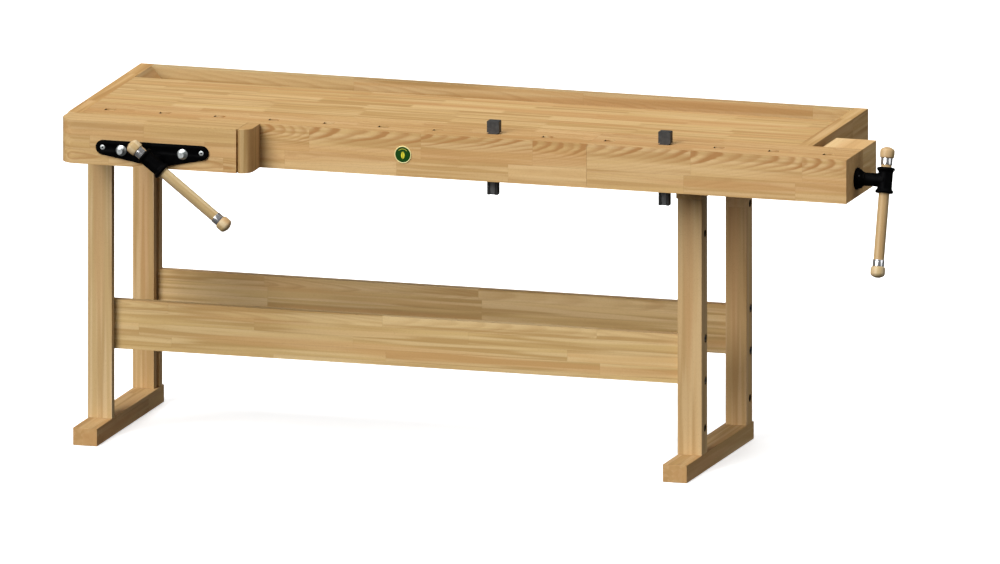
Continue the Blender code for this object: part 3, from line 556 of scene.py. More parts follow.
def make_shade_by_angle():
    """Geometry nodes that shade smooth, except at edges over 30 degrees."""
    tree = bpy.data.node_groups.new("shade_by_angle", "GeometryNodeTree")
    tree.interface.new_socket("Geometry", in_out="INPUT", socket_type="NodeSocketGeometry")
    tree.interface.new_socket("Geometry", in_out="OUTPUT", socket_type="NodeSocketGeometry")
    start = tree.nodes.new("NodeGroupInput")
    end = tree.nodes.new("NodeGroupOutput")
    drop = tree.nodes.new("GeometryNodeRemoveAttribute")
    drop.inputs["Name"].default_value = "custom_normal"
    smooth = tree.nodes.new("GeometryNodeSetShadeSmooth")
    smooth.domain = "FACE"
    crisp = tree.nodes.new("GeometryNodeSetShadeSmooth")
    crisp.domain = "EDGE"
    crisp.inputs["Shade Smooth"].default_value = False
    angle = tree.nodes.new("GeometryNodeInputMeshEdgeAngle")
    over = tree.nodes.new("FunctionNodeCompare")
    over.operation = "GREATER_THAN"
    over.inputs["B"].default_value = math.radians(SHARP)
    link = tree.links.new
    link(start.outputs[0], drop.inputs["Geometry"])
    link(drop.outputs[0], smooth.inputs["Geometry"])
    link(smooth.outputs[0], crisp.inputs["Geometry"])
    link(angle.outputs["Unsigned Angle"], over.inputs["A"])
    link(over.outputs[0], crisp.inputs["Selection"])
    link(crisp.outputs[0], end.inputs[0])
    return tree


SHADE_BY_ANGLE = make_shade_by_angle()


def shade_by_angle(target):
    shade = target.modifiers.new("Shading", "NODES")
    shade.node_group = SHADE_BY_ANGLE


def soften_edges(target, width):
    """Rounds edges over 40 degrees, and shades large faces flat."""
    bevel = target.modifiers.new("Soft edges", "BEVEL")
    bevel.width = width
    bevel.segments = 2
    bevel.limit_method = "ANGLE"
    bevel.angle_limit = math.radians(40.0)
    shade_by_angle(target)
    weigh = target.modifiers.new("Flat shading on large faces", "WEIGHTED_NORMAL")
    weigh.keep_sharp = True


def add_boolean(target, name, mesh, place, operation):
    """Joins a mesh to a piece, or cuts it away, in one of the piece's modifiers."""
    helper = new_object(name, mesh_data(name, mesh), place)
    modifier = target.modifiers.new(name, "BOOLEAN")
    modifier.operation = operation
    modifier.solver = "EXACT"
    modifier.object = helper
    HELPERS.append(helper)


def apply_modifiers(target):
    """Replaces a piece's mesh with what its modifiers make of it, and removes the helpers they used."""
    bpy.context.view_layer.update()
    graph = bpy.context.evaluated_depsgraph_get()
    data = bpy.data.meshes.new_from_object(target.evaluated_get(graph), depsgraph=graph)
    target.modifiers.clear()
    target.data = data
    for helper in HELPERS:
        bpy.data.objects.remove(helper, do_unlink=True)
    HELPERS.clear()


# Boards


def softened(node, material, width):
    """Softens a CAD node's edges without touching its own mesh."""
    board = NODES[node]
    weld = board.modifiers.new("Weld", "WELD")
    weld.merge_threshold = SAME
    flat = board.modifiers.new("Flat faces", "DECIMATE")
    flat.decimate_type = "DISSOLVE"
    flat.angle_limit = math.radians(0.5)
    soften_edges(board, width)
    for slot in board.material_slots:
        slot.material = material


def wood_boards():
    """Each board's grain order, stave size (length, width, thickness), pith, seed, ring contrast and tint.
    Where staves lie over each other, row 3 is the top one. One row shows its growth rings more."""
    flame = (0.026, 0.045, 0.14)
    calm = (0.0, 0.06, 0.02)
    arch = (0.0, 0.03, 0.07)
    beam = (0.9, 0.07, 0.08)
    leg = (2.0, 0.075, 0.08)
    front = (0.292, 0.0655, 0.053)
    boards = {
        "dog_hole_plank": ("XZY", front, flame, 3.0, 1.65, (1.02, 1.0, 0.97)),
        "tail_arm": ("XZY", front, flame, 8.0, 1.65, (1.0, 0.975, 0.96)),
        "bench_slab": ("XZY", (0.24, 0.06, 0.053), calm, 5.0, 0.35, (0.97, 0.95, 0.89)),
        "front_jaw": ("XZY", (0.3, 0.038, 0.044), arch, 13.0, 0.9, (0.935, 0.905, 0.86)),
        "front_jaw_end": ("ZXY", (0.6, 0.05, 0.044), calm, 12.0, 0.45, (0.86, 0.84, 0.77)),
        "tail_block": ("YZX", (0.6, 0.13, 0.053), calm, 14.0, 0.5, (1.13, 1.14, 1.16)),
        "end_cap_left": ("YZX", (0.34, 0.12, 0.04), calm, 15.0, 0.4, (0.94, 0.85, 0.75)),
        "end_cap_right": ("YZX", (0.34, 0.12, 0.04), calm, 16.0, 0.4, (0.92, 0.86, 0.79)),
        "back_board": ("XZY", (0.6, 0.062, 0.03), arch, 17.0, 0.4, (0.74, 0.76, 0.75)),
        "tray_bottom": ("XYZ", (3.0, 0.2, 0.03), arch, 18.0, 0.6, PLAIN),
        "tray_ramp_left": ("YXZ", (0.6, 0.09, 0.09), calm, 19.0, 0.5, (0.8, 0.78, 0.74)),
        "tray_ramp_right": ("YXZ", (0.6, 0.09, 0.09), calm, 20.0, 0.5, PLAIN),
        "tail_runner": ("XYZ", (0.6, 0.03, 0.03), calm, 21.0, 0.4, PLAIN),
        "stretcher_front": ("XZY", (0.56, 0.029, 0.06), arch, 22.0, 0.45, (1.0, 1.03, 1.0)),
        "stretcher_rear": ("XZY", (0.56, 0.029, 0.06), arch, 23.0, 0.45, (1.13, 1.15, 1.15)),
        "foot_left": ("YZX", beam, calm, 24.0, 0.45, (0.91, 0.86, 0.815)),
        "foot_right": ("YZX", beam, calm, 25.0, 0.45, (0.935, 0.905, 0.9)),
        "bearer_left": ("YZX", beam, calm, 26.0, 0.45, PLAIN),
        "bearer_right": ("YZX", beam, calm, 27.0, 0.45, PLAIN),
        "batten_left": ("YZX", beam, calm, 28.0, 0.45, PLAIN),
        "batten_right": ("YZX", beam, calm, 29.0, 0.45, PLAIN),
        "leg_front_left": ("ZXY", leg, calm, 31.0, 0.25, (0.99, 1.06, 1.19)),
        "leg_front_right": ("ZXY", leg, calm, 32.0, 0.25, (0.89, 0.89, 0.89)),
        "leg_rear_left": ("ZXY", leg, arch, 33.0, 0.35, (0.99, 1.0, 1.06)),
        "leg_rear_right": ("ZXY", leg, arch, 34.0, 0.35, (1.02, 1.0, 1.05)),
    }
    figured_rows = {"front_jaw": 1.0, "tray_bottom": 0.0}
    for node, (order, stave, pith, seed, contrast, tint) in boards.items():
        low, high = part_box(node)
        corner = low - Vector((STAVE_OFFSET, STAVE_OFFSET, STAVE_OFFSET))
        if order[1] == "Z":
            corner.z = high.z + STAVE_OFFSET - (TOP_ROW + 1.0) * stave[1]
        width = FLUSH_EDGE if node in FLUSH_BOARDS else SOFT_EDGE
        row = figured_rows.get(node, TOP_ROW)
        streaks = CALM_STREAKS if node in CALM_BOARDS or node.startswith("leg_") else 1.0
        name = f"beech_{node}"
        wood = beech(name, order, corner, stave, pith, seed, contrast, tint, streaks=streaks, row=row)
        # painted shade on the walls of the dog holes
        if node in DOG_HOLE_BOARDS:
            paint_hole_shade(wood, low, high, (INSIDE_BOARD, INSIDE_BOARD), end_walls=True)
        # painted shade on the walls of the holes in the legs
        if node.startswith("leg_"):
            across = HOLED_SIDE if node.endswith("left") else HOLED_SIDE[::-1]
            paint_hole_shade(wood, low, high, (across, INSIDE_BOARD), end_walls=False)
        softened(node, wood, width)


# Bars, knobs and ferrules

BAR_COAT = 0.1
BAR_TINT = (0.83, 0.925, 1.04)
KNOB_TINT = (0.92, 1.03, 1.22)
BAR_TAPER = 0.035  # of its radius, from its middle to its ends
BAR_STEPS = 8  # from its middle to each end
FERRULE_WALL = 0.0008
FERRULE_RIM = 0.0007  # its rounding


def axis_of(joint):
    return Vector(JOINTS[joint]["axis"]).normalized()


def extent_along(node, axis):
    """The lowest and highest distance of a node's vertices along an axis."""
    along = [v.co.dot(axis) for v in NODES[node].data.vertices]
    return min(along), max(along)


def extent_about(node, axis, on_axis):
    """How far a node reaches from the axis through a point."""
    away = [v.co - on_axis for v in NODES[node].data.vertices]
    return max((arm - axis * arm.dot(axis)).length for arm in away)


def on_line(point, axis, along):
    """The point at a distance along the axis on the line through the given point."""
    return point + axis * (along - point.dot(axis))


def turned_beech(name, seed, tint):
    """Lightly oiled beech, cut in one piece along its own Z axis."""
    corner = (-0.04, -0.04, 0.0)
    whole = (2.0, 0.08, 0.08)
    pith = (0.0, 0.05, 0.01)
    return beech(name, "ZXY", corner, whole, pith, seed, 0.3, tint, coat=BAR_COAT)


def make_bar_set(prefix, body, axis, side, pivot, wood_seed):
    """The bar with its two ferrules and two knobs."""
    node = f"{prefix}_bar"
    low, high = extent_along(node, axis)
    radius = extent_about(node, axis, pivot)
    half = (high - low) / 2
    end, face, chamfer = radius * (1.0 - BAR_TAPER), radius * 0.93, 0.0006
    profile = [(0.0, -half), (face, -half), (end, -half + chamfer)]
    for i in range(1 - BAR_STEPS, BAR_STEPS):
        t = i / BAR_STEPS
        swell = BAR_TAPER * math.cos(math.pi / 2 * t) ** 0.6
        profile.append((radius * (1.0 - BAR_TAPER + swell), half * t))
    profile += [(end, half - chamfer), (face, half), (0.0, half)]
    mesh = lathe(profile)
    place = frame_along(on_line(pivot, axis, (low + high) / 2), axis, side)
    wood = turned_beech(f"bar_beech_{prefix}", wood_seed, BAR_TINT)
    knob_wood = turned_beech(f"bar_beech_{prefix}_knobs", wood_seed, KNOB_TINT)
    new_piece(node + "_turned", mesh, wood, body, [node], place)
    steel = turned_steel(f"bright_steel_{prefix}", (0.6, 0.6, 0.61), (0.8, 0.8, 0.81), 0.16, metallic=0.9)
    for level, outward in (("upper", axis), ("lower", -axis)):
        make_knob(f"{prefix}_knob_{level}", body, outward, side, pivot, knob_wood)
        make_ferrule(f"{prefix}_ferrule_{level}", body, outward, side, pivot, steel)


def make_knob(node, body, outward, side, pivot, material):
    """A turned knob: flat and soft-edged at its neck, a slight barrel, then a shouldered dome."""
    low, high = extent_along(node, outward)
    radius = extent_about(node, outward, pivot)
    long = high - low
    soft, shoulder = 0.0032, 0.01
    profile = [(0.0, 0.0)]
    profile += arc((radius - soft - 0.0008, soft), soft, -90, -10, 7)
    profile += [(radius - 0.0004, long * 0.24), (radius, long * 0.4), (radius - 0.0002, long * 0.52)]
    profile += arc((radius - shoulder, long - shoulder - 0.0022), shoulder, 8, 68, 10)
    profile += [(radius * 0.3, long - 0.0003), (0.0, long)]
    mesh = lathe(profile)
    place = frame_along(on_line(pivot, outward, low), outward, side)
    new_piece(node + "_turned", mesh, material, body, [node], place, sharp=40.0)


def make_ferrule(node, body, outward, side, pivot, material):
    """A thin steel tube, rolled in a little at both rims."""
    low, high = extent_along(node, outward)
    outer = extent_about(node, outward, pivot)
    inner = outer - FERRULE_WALL
    long = high - low
    rim = FERRULE_RIM
    profile = arc((outer - rim, rim), rim, -90, 0, 5)
    profile += arc((outer - rim, long - rim), rim, 0, 90, 5)
    profile += [(inner, long), (inner, 0.0)]
    mesh = lathe(profile, closed=True)
    place = frame_along(on_line(pivot, outward, low), outward, side)
    new_piece(node + "_turned", mesh, material, body, [node], place)


# Screws and their cast heads

THREAD_PITCH = 0.006
THREAD_DEEP = 0.0018
THREAD_STEPS = 40
THREAD_SHAPE = ((0.0, "root"), (0.3, "root"), (0.42, "crest"), (0.82, "crest"))  # shares of a turn
THREAD_STARTS = 0.003  # it grows from nothing over this length
UNDER_ROOT = 0.001  # how far below its root the thread starts
CAST_STEPS = 48
SLEEVE_RADIUS = 0.0185
BEAD_RADIUS = 0.0045  # of the bead's own round
BEAD_REACH = 0.023  # from the bar's axis to its outside
BEAD_FILLET = ((0.0006, 0.0016), (0.0, 0.004))  # (past the sleeve, past the bead)
CAST_VOXEL = 0.0009  # the remeshed surface's grain
PAST = 0.002  # how far a helper solid reaches past a face


def make_thread(node, body, axis, side, pivot, plain, material):
    """A bar with a trapezoidal thread. Its last stretch, by the cast head, is plain."""
    low, high = extent_along(node, axis)
    crest = extent_about(node, axis, pivot)
    root = crest - THREAD_DEEP
    reach = {"root": root, "crest": crest}
    long = high - low
    top = long - plain
    mesh = lathe([(0.0, long), (crest, long), (crest, top), (root, top - 0.001)], THREAD_STEPS)
    rows = []
    for turn in range(-1, int(long / THREAD_PITCH) + 2):
        for part, level in THREAD_SHAPE:
            row = []
            for i in range(THREAD_STEPS):
                height = (turn + part + i / THREAD_STEPS) * THREAD_PITCH
                height = min(max(height, 0.0), top)
                grown = min(1.0, max(0.0, height / THREAD_STARTS))
                radius = root - UNDER_ROOT + (reach[level] - root + UNDER_ROOT) * grown
                angle = 2 * math.pi * i / THREAD_STEPS
                row.append(mesh.verts.new((radius * math.cos(angle), radius * math.sin(angle), height)))
            rows.append(row)
    parts = len(THREAD_SHAPE)
    for k in range(len(rows) - parts - 1):
        for i in range(THREAD_STEPS):
            if i < THREAD_STEPS - 1:
                quad = (rows[k][i], rows[k][i + 1], rows[k + 1][i + 1], rows[k + 1][i])
            else:
                quad = (rows[k][i], rows[k + parts][0], rows[k + parts + 1][0], rows[k + 1][i])
            mesh.faces.new(quad)
    bmesh.ops.remove_doubles(mesh, verts=mesh.verts, dist=SAME)
    holes = [edge for edge in mesh.edges if edge.is_boundary]
    bmesh.ops.holes_fill(mesh, edges=holes, sides=0)
    place = frame_along(on_line(pivot, axis, low), axis, side)
    new_piece(node + "_threaded", mesh, material, body, [node], place)


def make_cast_head(prefix, neck_axis, bar_axis, pivot, neck_end, material):
    """The cast sleeve for the bar, its beads, and the neck that swells where it joins the sleeve.
    The solids are joined and remeshed finely, so that they run into each other as a casting does."""
    node = f"{prefix}_screw_head"
    half = extent_along(node, bar_axis)[1] - pivot.dot(bar_axis)
    bore = extent_about(f"{prefix}_bar", bar_axis, pivot) + CLEAR
    beads = BEAD_REACH - BEAD_RADIUS
    fillet = [(SLEEVE_RADIUS + out, -half + 2 * BEAD_RADIUS + on) for out, on in BEAD_FILLET]
    profile = [(0.0, -half)] + arc((beads, -half + BEAD_RADIUS), BEAD_RADIUS, -90, 60, 10) + fillet
    profile += [(radius, -height) for radius, height in fillet[::-1]]
    profile += arc((beads, half - BEAD_RADIUS), BEAD_RADIUS, -60, 90, 10) + [(0.0, half)]
    mesh = lathe(profile, CAST_STEPS)
    place = frame_along(pivot, bar_axis, neck_axis)
    head = new_piece(node + "_cast", mesh, material, f"{prefix}_screw", [node], place)
    profile = [(0.0, 0.0), (0.0195, 0.0), (0.0185, 0.012), (0.0174, 0.02), (0.0168, 0.026)]
    profile += [(0.0168, neck_end - 0.004), (0.0172, neck_end - 0.003), (0.0172, neck_end - 0.0006)]
    profile += [(0.0166, neck_end), (0.0, neck_end)]
    neck = lathe(profile, CAST_STEPS)
    add_boolean(head, node + "_neck", neck, frame_along(pivot, neck_axis, bar_axis), "UNION")
    remesh = head.modifiers.new("Cast surface", "REMESH")
    remesh.mode = "VOXEL"
    remesh.voxel_size = CAST_VOXEL
    remesh.use_smooth_shade = True
    smooth = head.modifiers.new("Fillets", "SMOOTH")
    smooth.factor = 0.5
    smooth.iterations = 8
    end = half + PAST
    hole = lathe([(0.0, -end), (bore, -end), (bore, end), (0.0, end)], CAST_STEPS)
    add_boolean(head, node + "_bore", hole, place, "DIFFERENCE")
    shade_by_angle(head)
    apply_modifiers(head)


def make_vises(cast, steel):
    """Each vise's cast head, its threaded screw with the length of its plain stretch, and its bar."""
    for prefix, plain, seed in (("front", 0.095, 51.0), ("tail", 0.12, 52.0)):
        screw = f"{prefix}_screw"
        axis = axis_of(screw + "_turn")
        pivot = Vector(JOINTS[screw + "_turn"]["pos_m"])
        bar_axis = axis_of(f"{prefix}_bar_slide")
        neck_end = pivot.dot(axis) - extent_along(screw + "_head", axis)[0]
        make_cast_head(prefix, -axis, bar_axis, pivot, neck_end, cast)
        make_thread(screw, screw, axis, bar_axis, pivot, plain, steel)
        make_bar_set(prefix, f"{prefix}_bar", bar_axis, axis, pivot, seed)


# Plate, bolts and guide bars

PLATE_EDGE = 0.0009
PLATE_SINK = ((0.0, -0.01), (0.0033, -0.01), (0.0033, -0.003), (0.0071, 0.0), (0.0071, 0.003), (0.0, 0.003))
GUIDE_GAP = 0.0002  # between a guide bar's head and the plate
GUIDE_TURN = 11.0  # degrees from upright, as its head was last tightened
FLANGE_SCREWS = (60.0, 180.0, 300.0)
FLANGE_SCREW_CIRCLE = 0.0212


def hexagon(mesh, across_flats, low, high):
    """A six-sided prism round Z."""
    corner = across_flats / math.sqrt(3.0)
    size = {"radius1": corner, "radius2": corner, "depth": high - low}
    middle = Matrix.Translation((0.0, 0.0, (low + high) / 2))
    bmesh.ops.create_cone(mesh, cap_ends=True, segments=6, matrix=middle, **size)


def cut_socket(piece, place, across_flats, bottom, top):
    """Cuts a hexagon socket into a screw's head."""
    socket = bmesh.new()
    hexagon(socket, across_flats, bottom, top)
    add_boolean(piece, piece.name + "_hexagon", socket, place, "DIFFERENCE")


def block(mesh, low, high):
    low, high = Vector(low), Vector(high)
    size = Matrix.Diagonal((*(high - low), 1.0))
    bmesh.ops.create_cube(mesh, size=1.0, matrix=Matrix.Translation((low + high) / 2) @ size)


def make_front_plate(material):
    """The plate's outline wraps a small disc at each end and a hub round the screw."""
    node = "front_vise_plate"
    low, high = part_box(node)
    hub = Vector(JOINTS["front_screw_turn"]["pos_m"])
    ends = [box_centre(f"front_plate_screw_{side}") for side in SIDES]
    discs = [(end.x - hub.x, end.z - hub.z, high.z - end.z) for end in ends]
    discs.append((0.0, 0.0, hub.z - low.z))
    thick = high.y - low.y
    mesh = bmesh.new()
    for x, z, radius in discs:
        for i in range(FINE):
            angle = 2 * math.pi * i / FINE
            for y in (0.0, thick):
                mesh.verts.new((x + radius * math.cos(angle), y, z + radius * math.sin(angle)))
    bmesh.ops.convex_hull(mesh, input=mesh.verts)
    bmesh.ops.delete(mesh, geom=[v for v in mesh.verts if not v.link_faces], context="VERTS")
    bmesh.ops.dissolve_limit(mesh, angle_limit=0.001, verts=mesh.verts, edges=mesh.edges)
    rim = [e for e in mesh.edges if abs(e.verts[0].co.y - e.verts[1].co.y) < SAME]
    bmesh.ops.bevel(mesh, geom=rim, offset=PLATE_EDGE, segments=3, profile=0.5, affect="EDGES")
    place = Matrix.Translation((hub.x, low.y, hub.z))
    plate = new_piece(node + "_pressed", mesh, material, "front_jaw", [node], place)
    for side, end in zip(SIDES, ends):
        sink = lathe(PLATE_SINK)
        mouth = frame_along(Vector((end.x, low.y, end.z)), -Y, X)
        add_boolean(plate, f"plate_sink_{side}", sink, mouth, "DIFFERENCE")
    apply_modifiers(plate)


def make_plate_screw(side, material):
    """A countersunk screw with a hexagon socket."""
    node = f"front_plate_screw_{side}"
    low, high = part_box(node)
    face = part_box("front_vise_plate")[0].y
    centre = (low + high) / 2
    proud, tip = face - low.y, high.y - face
    profile = [(0.0, -tip), (0.0012, -tip + 0.003), (0.0026, -tip + 0.008), (0.0028, -0.0032)]
    profile += [(0.0064, 0.0002), (0.0065, 0.0006)] + arc((0.0058, 0.0006), 0.0007, 0, 80, 4)
    profile += [(0.003, proud - 0.0001), (0.0, proud)]
    mesh = lathe(profile, steps=48)
    place = frame_along(Vector((centre.x, face, centre.z)), -Y, X)
    made = new_piece(node + "_socket", mesh, material, "front_jaw", [node], place)
    cut_socket(made, place, 0.0046, -0.0026, 0.004)
    apply_modifiers(made)


def make_guide_bar(side, material):
    """A guide bar with a flanged hexagon head against the plate."""
    node = f"front_guide_bar_{side}"
    low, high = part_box(node)
    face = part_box("front_vise_plate")[0].y - GUIDE_GAP
    centre = (low + high) / 2
    top, long = face - low.y, high.y - face
    rim = (high.x - low.x) / 2
    shank, flange, flats = 0.01, 0.0045, 0.0165
    mesh = bmesh.new()
    hexagon(mesh, flats, 0.001, top)
    place = frame_along(Vector((centre.x, face, centre.z)), -Y, X)
    place = place @ Matrix.Rotation(math.radians(GUIDE_TURN), 4, "Z")
    made = new_piece(node + "_bolted", mesh, material, "front_jaw", [node], place)
    cap = lathe([(0.0, 0.0), (0.011, 0.0), (0.011, top - 0.0026), (0.007, top), (0.0, top)], steps=72)
    add_boolean(made, node + "_cap", cap, place, "INTERSECT")
    profile = [(0.0, -long), (shank - 0.0012, -long), (shank, -long + 0.0012), (shank, 0.0)]
    profile += [(rim - 0.0004, 0.0)] + arc((rim - 0.0009, 0.0009), 0.0009, -45, 75, 6)
    profile += [((rim + flats / 2) / 2, flange * 0.75), (flats / 2 + 0.0004, flange), (0.0, flange)]
    bar = lathe(profile, steps=72)
    add_boolean(made, node + "_bar", bar, place, "UNION")
    shade_by_angle(made)
    apply_modifiers(made)


def make_stretcher_bolts(material):
    """Socket-head bolts, sunk in the legs."""
    for node in sorted(n for n in NODES if n.startswith("stretcher_bolt_")):
        low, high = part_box(node)
        centre = (low + high) / 2
        radius = (high.z - low.z) / 2
        outward, top = (X, high.x) if "_right_" in node else (-X, -low.x)
        long, head = high.x - low.x, 0.008
        profile = [(0.0, -long), (0.0028, -long), (0.004, -long + 0.0015), (0.004, -head)]
        profile += [(radius - 0.0003, -head), (radius, -head + 0.0004)]
        profile += arc((radius - 0.0009, -0.0009), 0.0009, 0, 90, 5) + [(0.0, 0.0)]
        mesh = lathe(profile, steps=40)
        place = frame_along(Vector((0.0, centre.y, centre.z)) + outward * top, outward, Z)
        made = new_piece(node + "_socket", mesh, material, "bench", [node], place)
        cut_socket(made, place, 0.0062, -0.004, 0.002)
        shade_by_angle(made)
        apply_modifiers(made)


def make_flange(cast, steel):
    """The tail vise's round flange, its hub and its three countersunk screws."""
    node = "tail_flange"
    low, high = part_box(node)
    pivot = Vector(JOINTS["tail_screw_turn"]["pos_m"])
    radius = (high.z - low.z) / 2
    long = high.x - low.x
    bore, hub, base, thick = 0.0133, 0.017, 0.0046, 0.0115
    profile = [(bore, 0.0), (radius - 0.0004, 0.0), (radius, 0.0006), (radius, base - 0.0006)]
    profile += [(radius - 0.0006, base), (radius - 0.0022, base + 0.0002), (radius - 0.0026, base + 0.0008)]
    profile += arc((radius - 0.0052, thick - 0.0026), 0.0026, 0, 60, 5)
    profile += [(radius - 0.006, thick + 0.0012), (hub + 0.0022, thick + 0.0056)]
    profile += [(hub + 0.0006, thick + 0.008), (hub, thick + 0.01)]
    profile += [(hub, long - 0.0008), (hub - 0.0008, long), (bore, long)]
    mesh = lathe(profile, closed=True)
    place = frame_along(Vector((low.x, pivot.y, pivot.z)), X, Z)
    new_piece(node + "_cast", mesh, cast, "tail_jaw", [node], place)
    under, top = thick - 0.003, thick + 0.003
    profile = [(0.0, under), (0.0028, under), (0.0028, top - 0.0008), (0.002, top - 0.0001), (0.0, top)]
    heads = bmesh.new()
    for angle in FLANGE_SCREWS:
        head = lathe(profile, steps=24)
        data = bpy.data.meshes.new("flange_screw")
        head.to_mesh(data)
        head.free()
        turn = Matrix.Rotation(math.radians(angle), 4, "Z")
        data.transform(turn @ Matrix.Translation((FLANGE_SCREW_CIRCLE, 0.0, 0.0)))
        heads.from_mesh(data)
        bpy.data.meshes.remove(data)
    new_piece("tail_flange_screws", heads, steel, "tail_jaw", (), place)


# Badge

BADGE_LAP = 0.0016  # the enamel's rim laps this far over the disc's edge
BADGE_RIM = 0.0022
BADGE_STEP = 0.0007  # from the rim down to the field
BADGE_DOME = 0.0005
BADGE_ARC = (0.0134, 0.0148)  # its inner and outer radius
BADGE_ARC_ABOVE = 0.0095
BADGE_VEIN = 0.0003
BADGE_LEAF_SHIFT = 0.008
BADGE_LEAF_ROUND = 0.013
BADGE_LEAF_DROP = 0.0015
EDGE_BLUR = 0.0004


def badge_enamel(radius):
    """Green enamel with a plain leaf, an arc over it and a cream rim."""
    made, tree, shader = shader_material("badge_enamel_leaf", specular=0.15)
    place = object_coordinates(tree)
    x, y, _ = separate(place)
    out = (x * x + y * y).root()
    low_y = y + BADGE_LEAF_DROP

    def inside_side(shift):
        """A round area beside the middle. Where two such areas cross, they make a leaf."""
        away = ((x - shift) * (x - shift) + low_y * low_y).root()
        return away.step(BADGE_LEAF_ROUND - EDGE_BLUR, BADGE_LEAF_ROUND, 1.0, 0.0)

    leaf = inside_side(BADGE_LEAF_SHIFT) * inside_side(-BADGE_LEAF_SHIFT)
    vein = x.size().step(BADGE_VEIN, BADGE_VEIN + EDGE_BLUR)
    inner, outer = BADGE_ARC
    band = out.step(inner, inner + EDGE_BLUR) * out.step(outer, outer + EDGE_BLUR, 1.0, 0.0)
    bow = band * y.step(BADGE_ARC_ABOVE, BADGE_ARC_ABOVE + EDGE_BLUR)
    rim = out.step(radius - BADGE_RIM - EDGE_BLUR, radius - BADGE_RIM)
    shade = noise(place, scale=300.0, detail=2.0)
    green = blend(shade, (0.006, 0.046, 0.004), (0.009, 0.06, 0.006))
    colour = blend(leaf * vein, green, (0.66, 0.6, 0.04))
    colour = blend(bow * 0.8, colour, (0.56, 0.54, 0.06))
    colour = blend(rim, colour, (0.78, 0.7, 0.33))
    connect(shader, colour, shade * 0.1 + 0.28, leaf * vein + bow, depth=0.0002, strength=0.4)
    return made


def make_badge():
    """A pressed disc: a rounded rim, a step down to the field, and a low dome in the middle."""
    low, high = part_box("badge")
    centre = (low + high) / 2
    radius = (high.x - low.x) / 2 + BADGE_LAP
    thick = high.y - low.y
    field = thick - BADGE_STEP
    profile = [(0.0, 0.0), (radius - 0.0003, 0.0), (radius, 0.0004)]
    profile += arc((radius - 0.0012, thick - 0.0012), 0.0012, 0, 100, 8)
    profile += [(radius - 0.0022, field + 0.0003), (radius - 0.003, field)]
    for t in (0.8, 0.6, 0.4, 0.2):
        profile.append((radius * t, field + BADGE_DOME * math.cos(math.pi / 2 * t / 0.8)))
    profile.append((0.0, field + BADGE_DOME))
    mesh = lathe(profile, steps=96)
    place = frame_along(Vector((centre.x, high.y, centre.z)), -Y, X)
    enamel = badge_enamel(radius)
    new_piece("badge_pressed", mesh, enamel, "bench", ["badge"], place)


# Bench dogs

DOG_SHANK = (0.027, 0.019)
DOG_HEAD_ROUND = 0.003
DOG_EDGE = 0.0006
DOG_CHANNEL = (0.014, 0.004)
DOG_CHANNEL_ABOVE = 0.006  # over the spring
DOG_NOTCH = (0.0045, 0.0035)  # (inwards, upwards) under each end of the head
DOG_NOTCH_LAP = 0.0001
DOG_GROOVE = (0.0006, 0.0014)  # (inwards, upwards) of each groove in its faces
DOG_GROOVES = 5
DOG_FIRST_GROOVE = 0.0075
DOG_GROOVE_PITCH = 0.0042
SPRING_STEPS = 28
SPRING_THICK = 0.0011
SPRING_CLEAR = 0.0003
SPRING_NARROWS = 0.22  # of its width, over its last tenth at each end


def make_dog(side, body, material):
    """A milled steel dog. Its rounded head has a grooved face each way and a notch under each end, and its
    shank has a channel for its spring."""
    node = f"dog_{side}"
    name = node + "_milled"
    low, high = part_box(node)
    spring_low, spring_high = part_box(f"dog_spring_{side}")
    shank_x = (spring_low.x + spring_high.x) / 2
    mid_y = (low.y + high.y) / 2
    head_low = BENCH_TOP + CLEAR
    mesh = bmesh.new()
    block(mesh, (low.x, low.y, head_low), high)
    crown = []
    for edge in mesh.edges:
        start, end = (v.co for v in edge.verts)
        if min(start.z, end.z) > high.z - SAME and abs(start.x - end.x) < SAME:
            crown.append(edge)
    bmesh.ops.bevel(mesh, geom=crown, offset=DOG_HEAD_ROUND, segments=5, profile=0.5, affect="EDGES")
    made = new_piece(name, mesh, material, body, [node])
    shank = bmesh.new()
    half_x, half_y = DOG_SHANK[0] / 2, DOG_SHANK[1] / 2
    front = mid_y - half_y
    block(shank, (shank_x - half_x, front, low.z), (shank_x + half_x, mid_y + half_y, head_low + PAST))
    add_boolean(made, name + "_shank", shank, IN_PLACE, "UNION")
    cuts = bmesh.new()
    half, deep = DOG_CHANNEL[0] / 2, DOG_CHANNEL[1]
    channel_top = spring_high.z + DOG_CHANNEL_ABOVE
    block(cuts, (shank_x - half, front - PAST, low.z - PAST), (shank_x + half, front + deep, channel_top))
    levels = [(head_low - DOG_NOTCH_LAP, *DOG_NOTCH)]
    for i in range(DOG_GROOVES):
        levels.append((head_low + DOG_FIRST_GROOVE + i * DOG_GROOVE_PITCH, *DOG_GROOVE))
    for end in (low.x, high.x):
        for z, inwards, upwards in levels:
            block(cuts, (end - inwards, low.y - PAST, z), (end + inwards, high.y + PAST, z + upwards))
    add_boolean(made, name + "_cuts", cuts, IN_PLACE, "DIFFERENCE")
    soften_edges(made, DOG_EDGE)
    apply_modifiers(made)


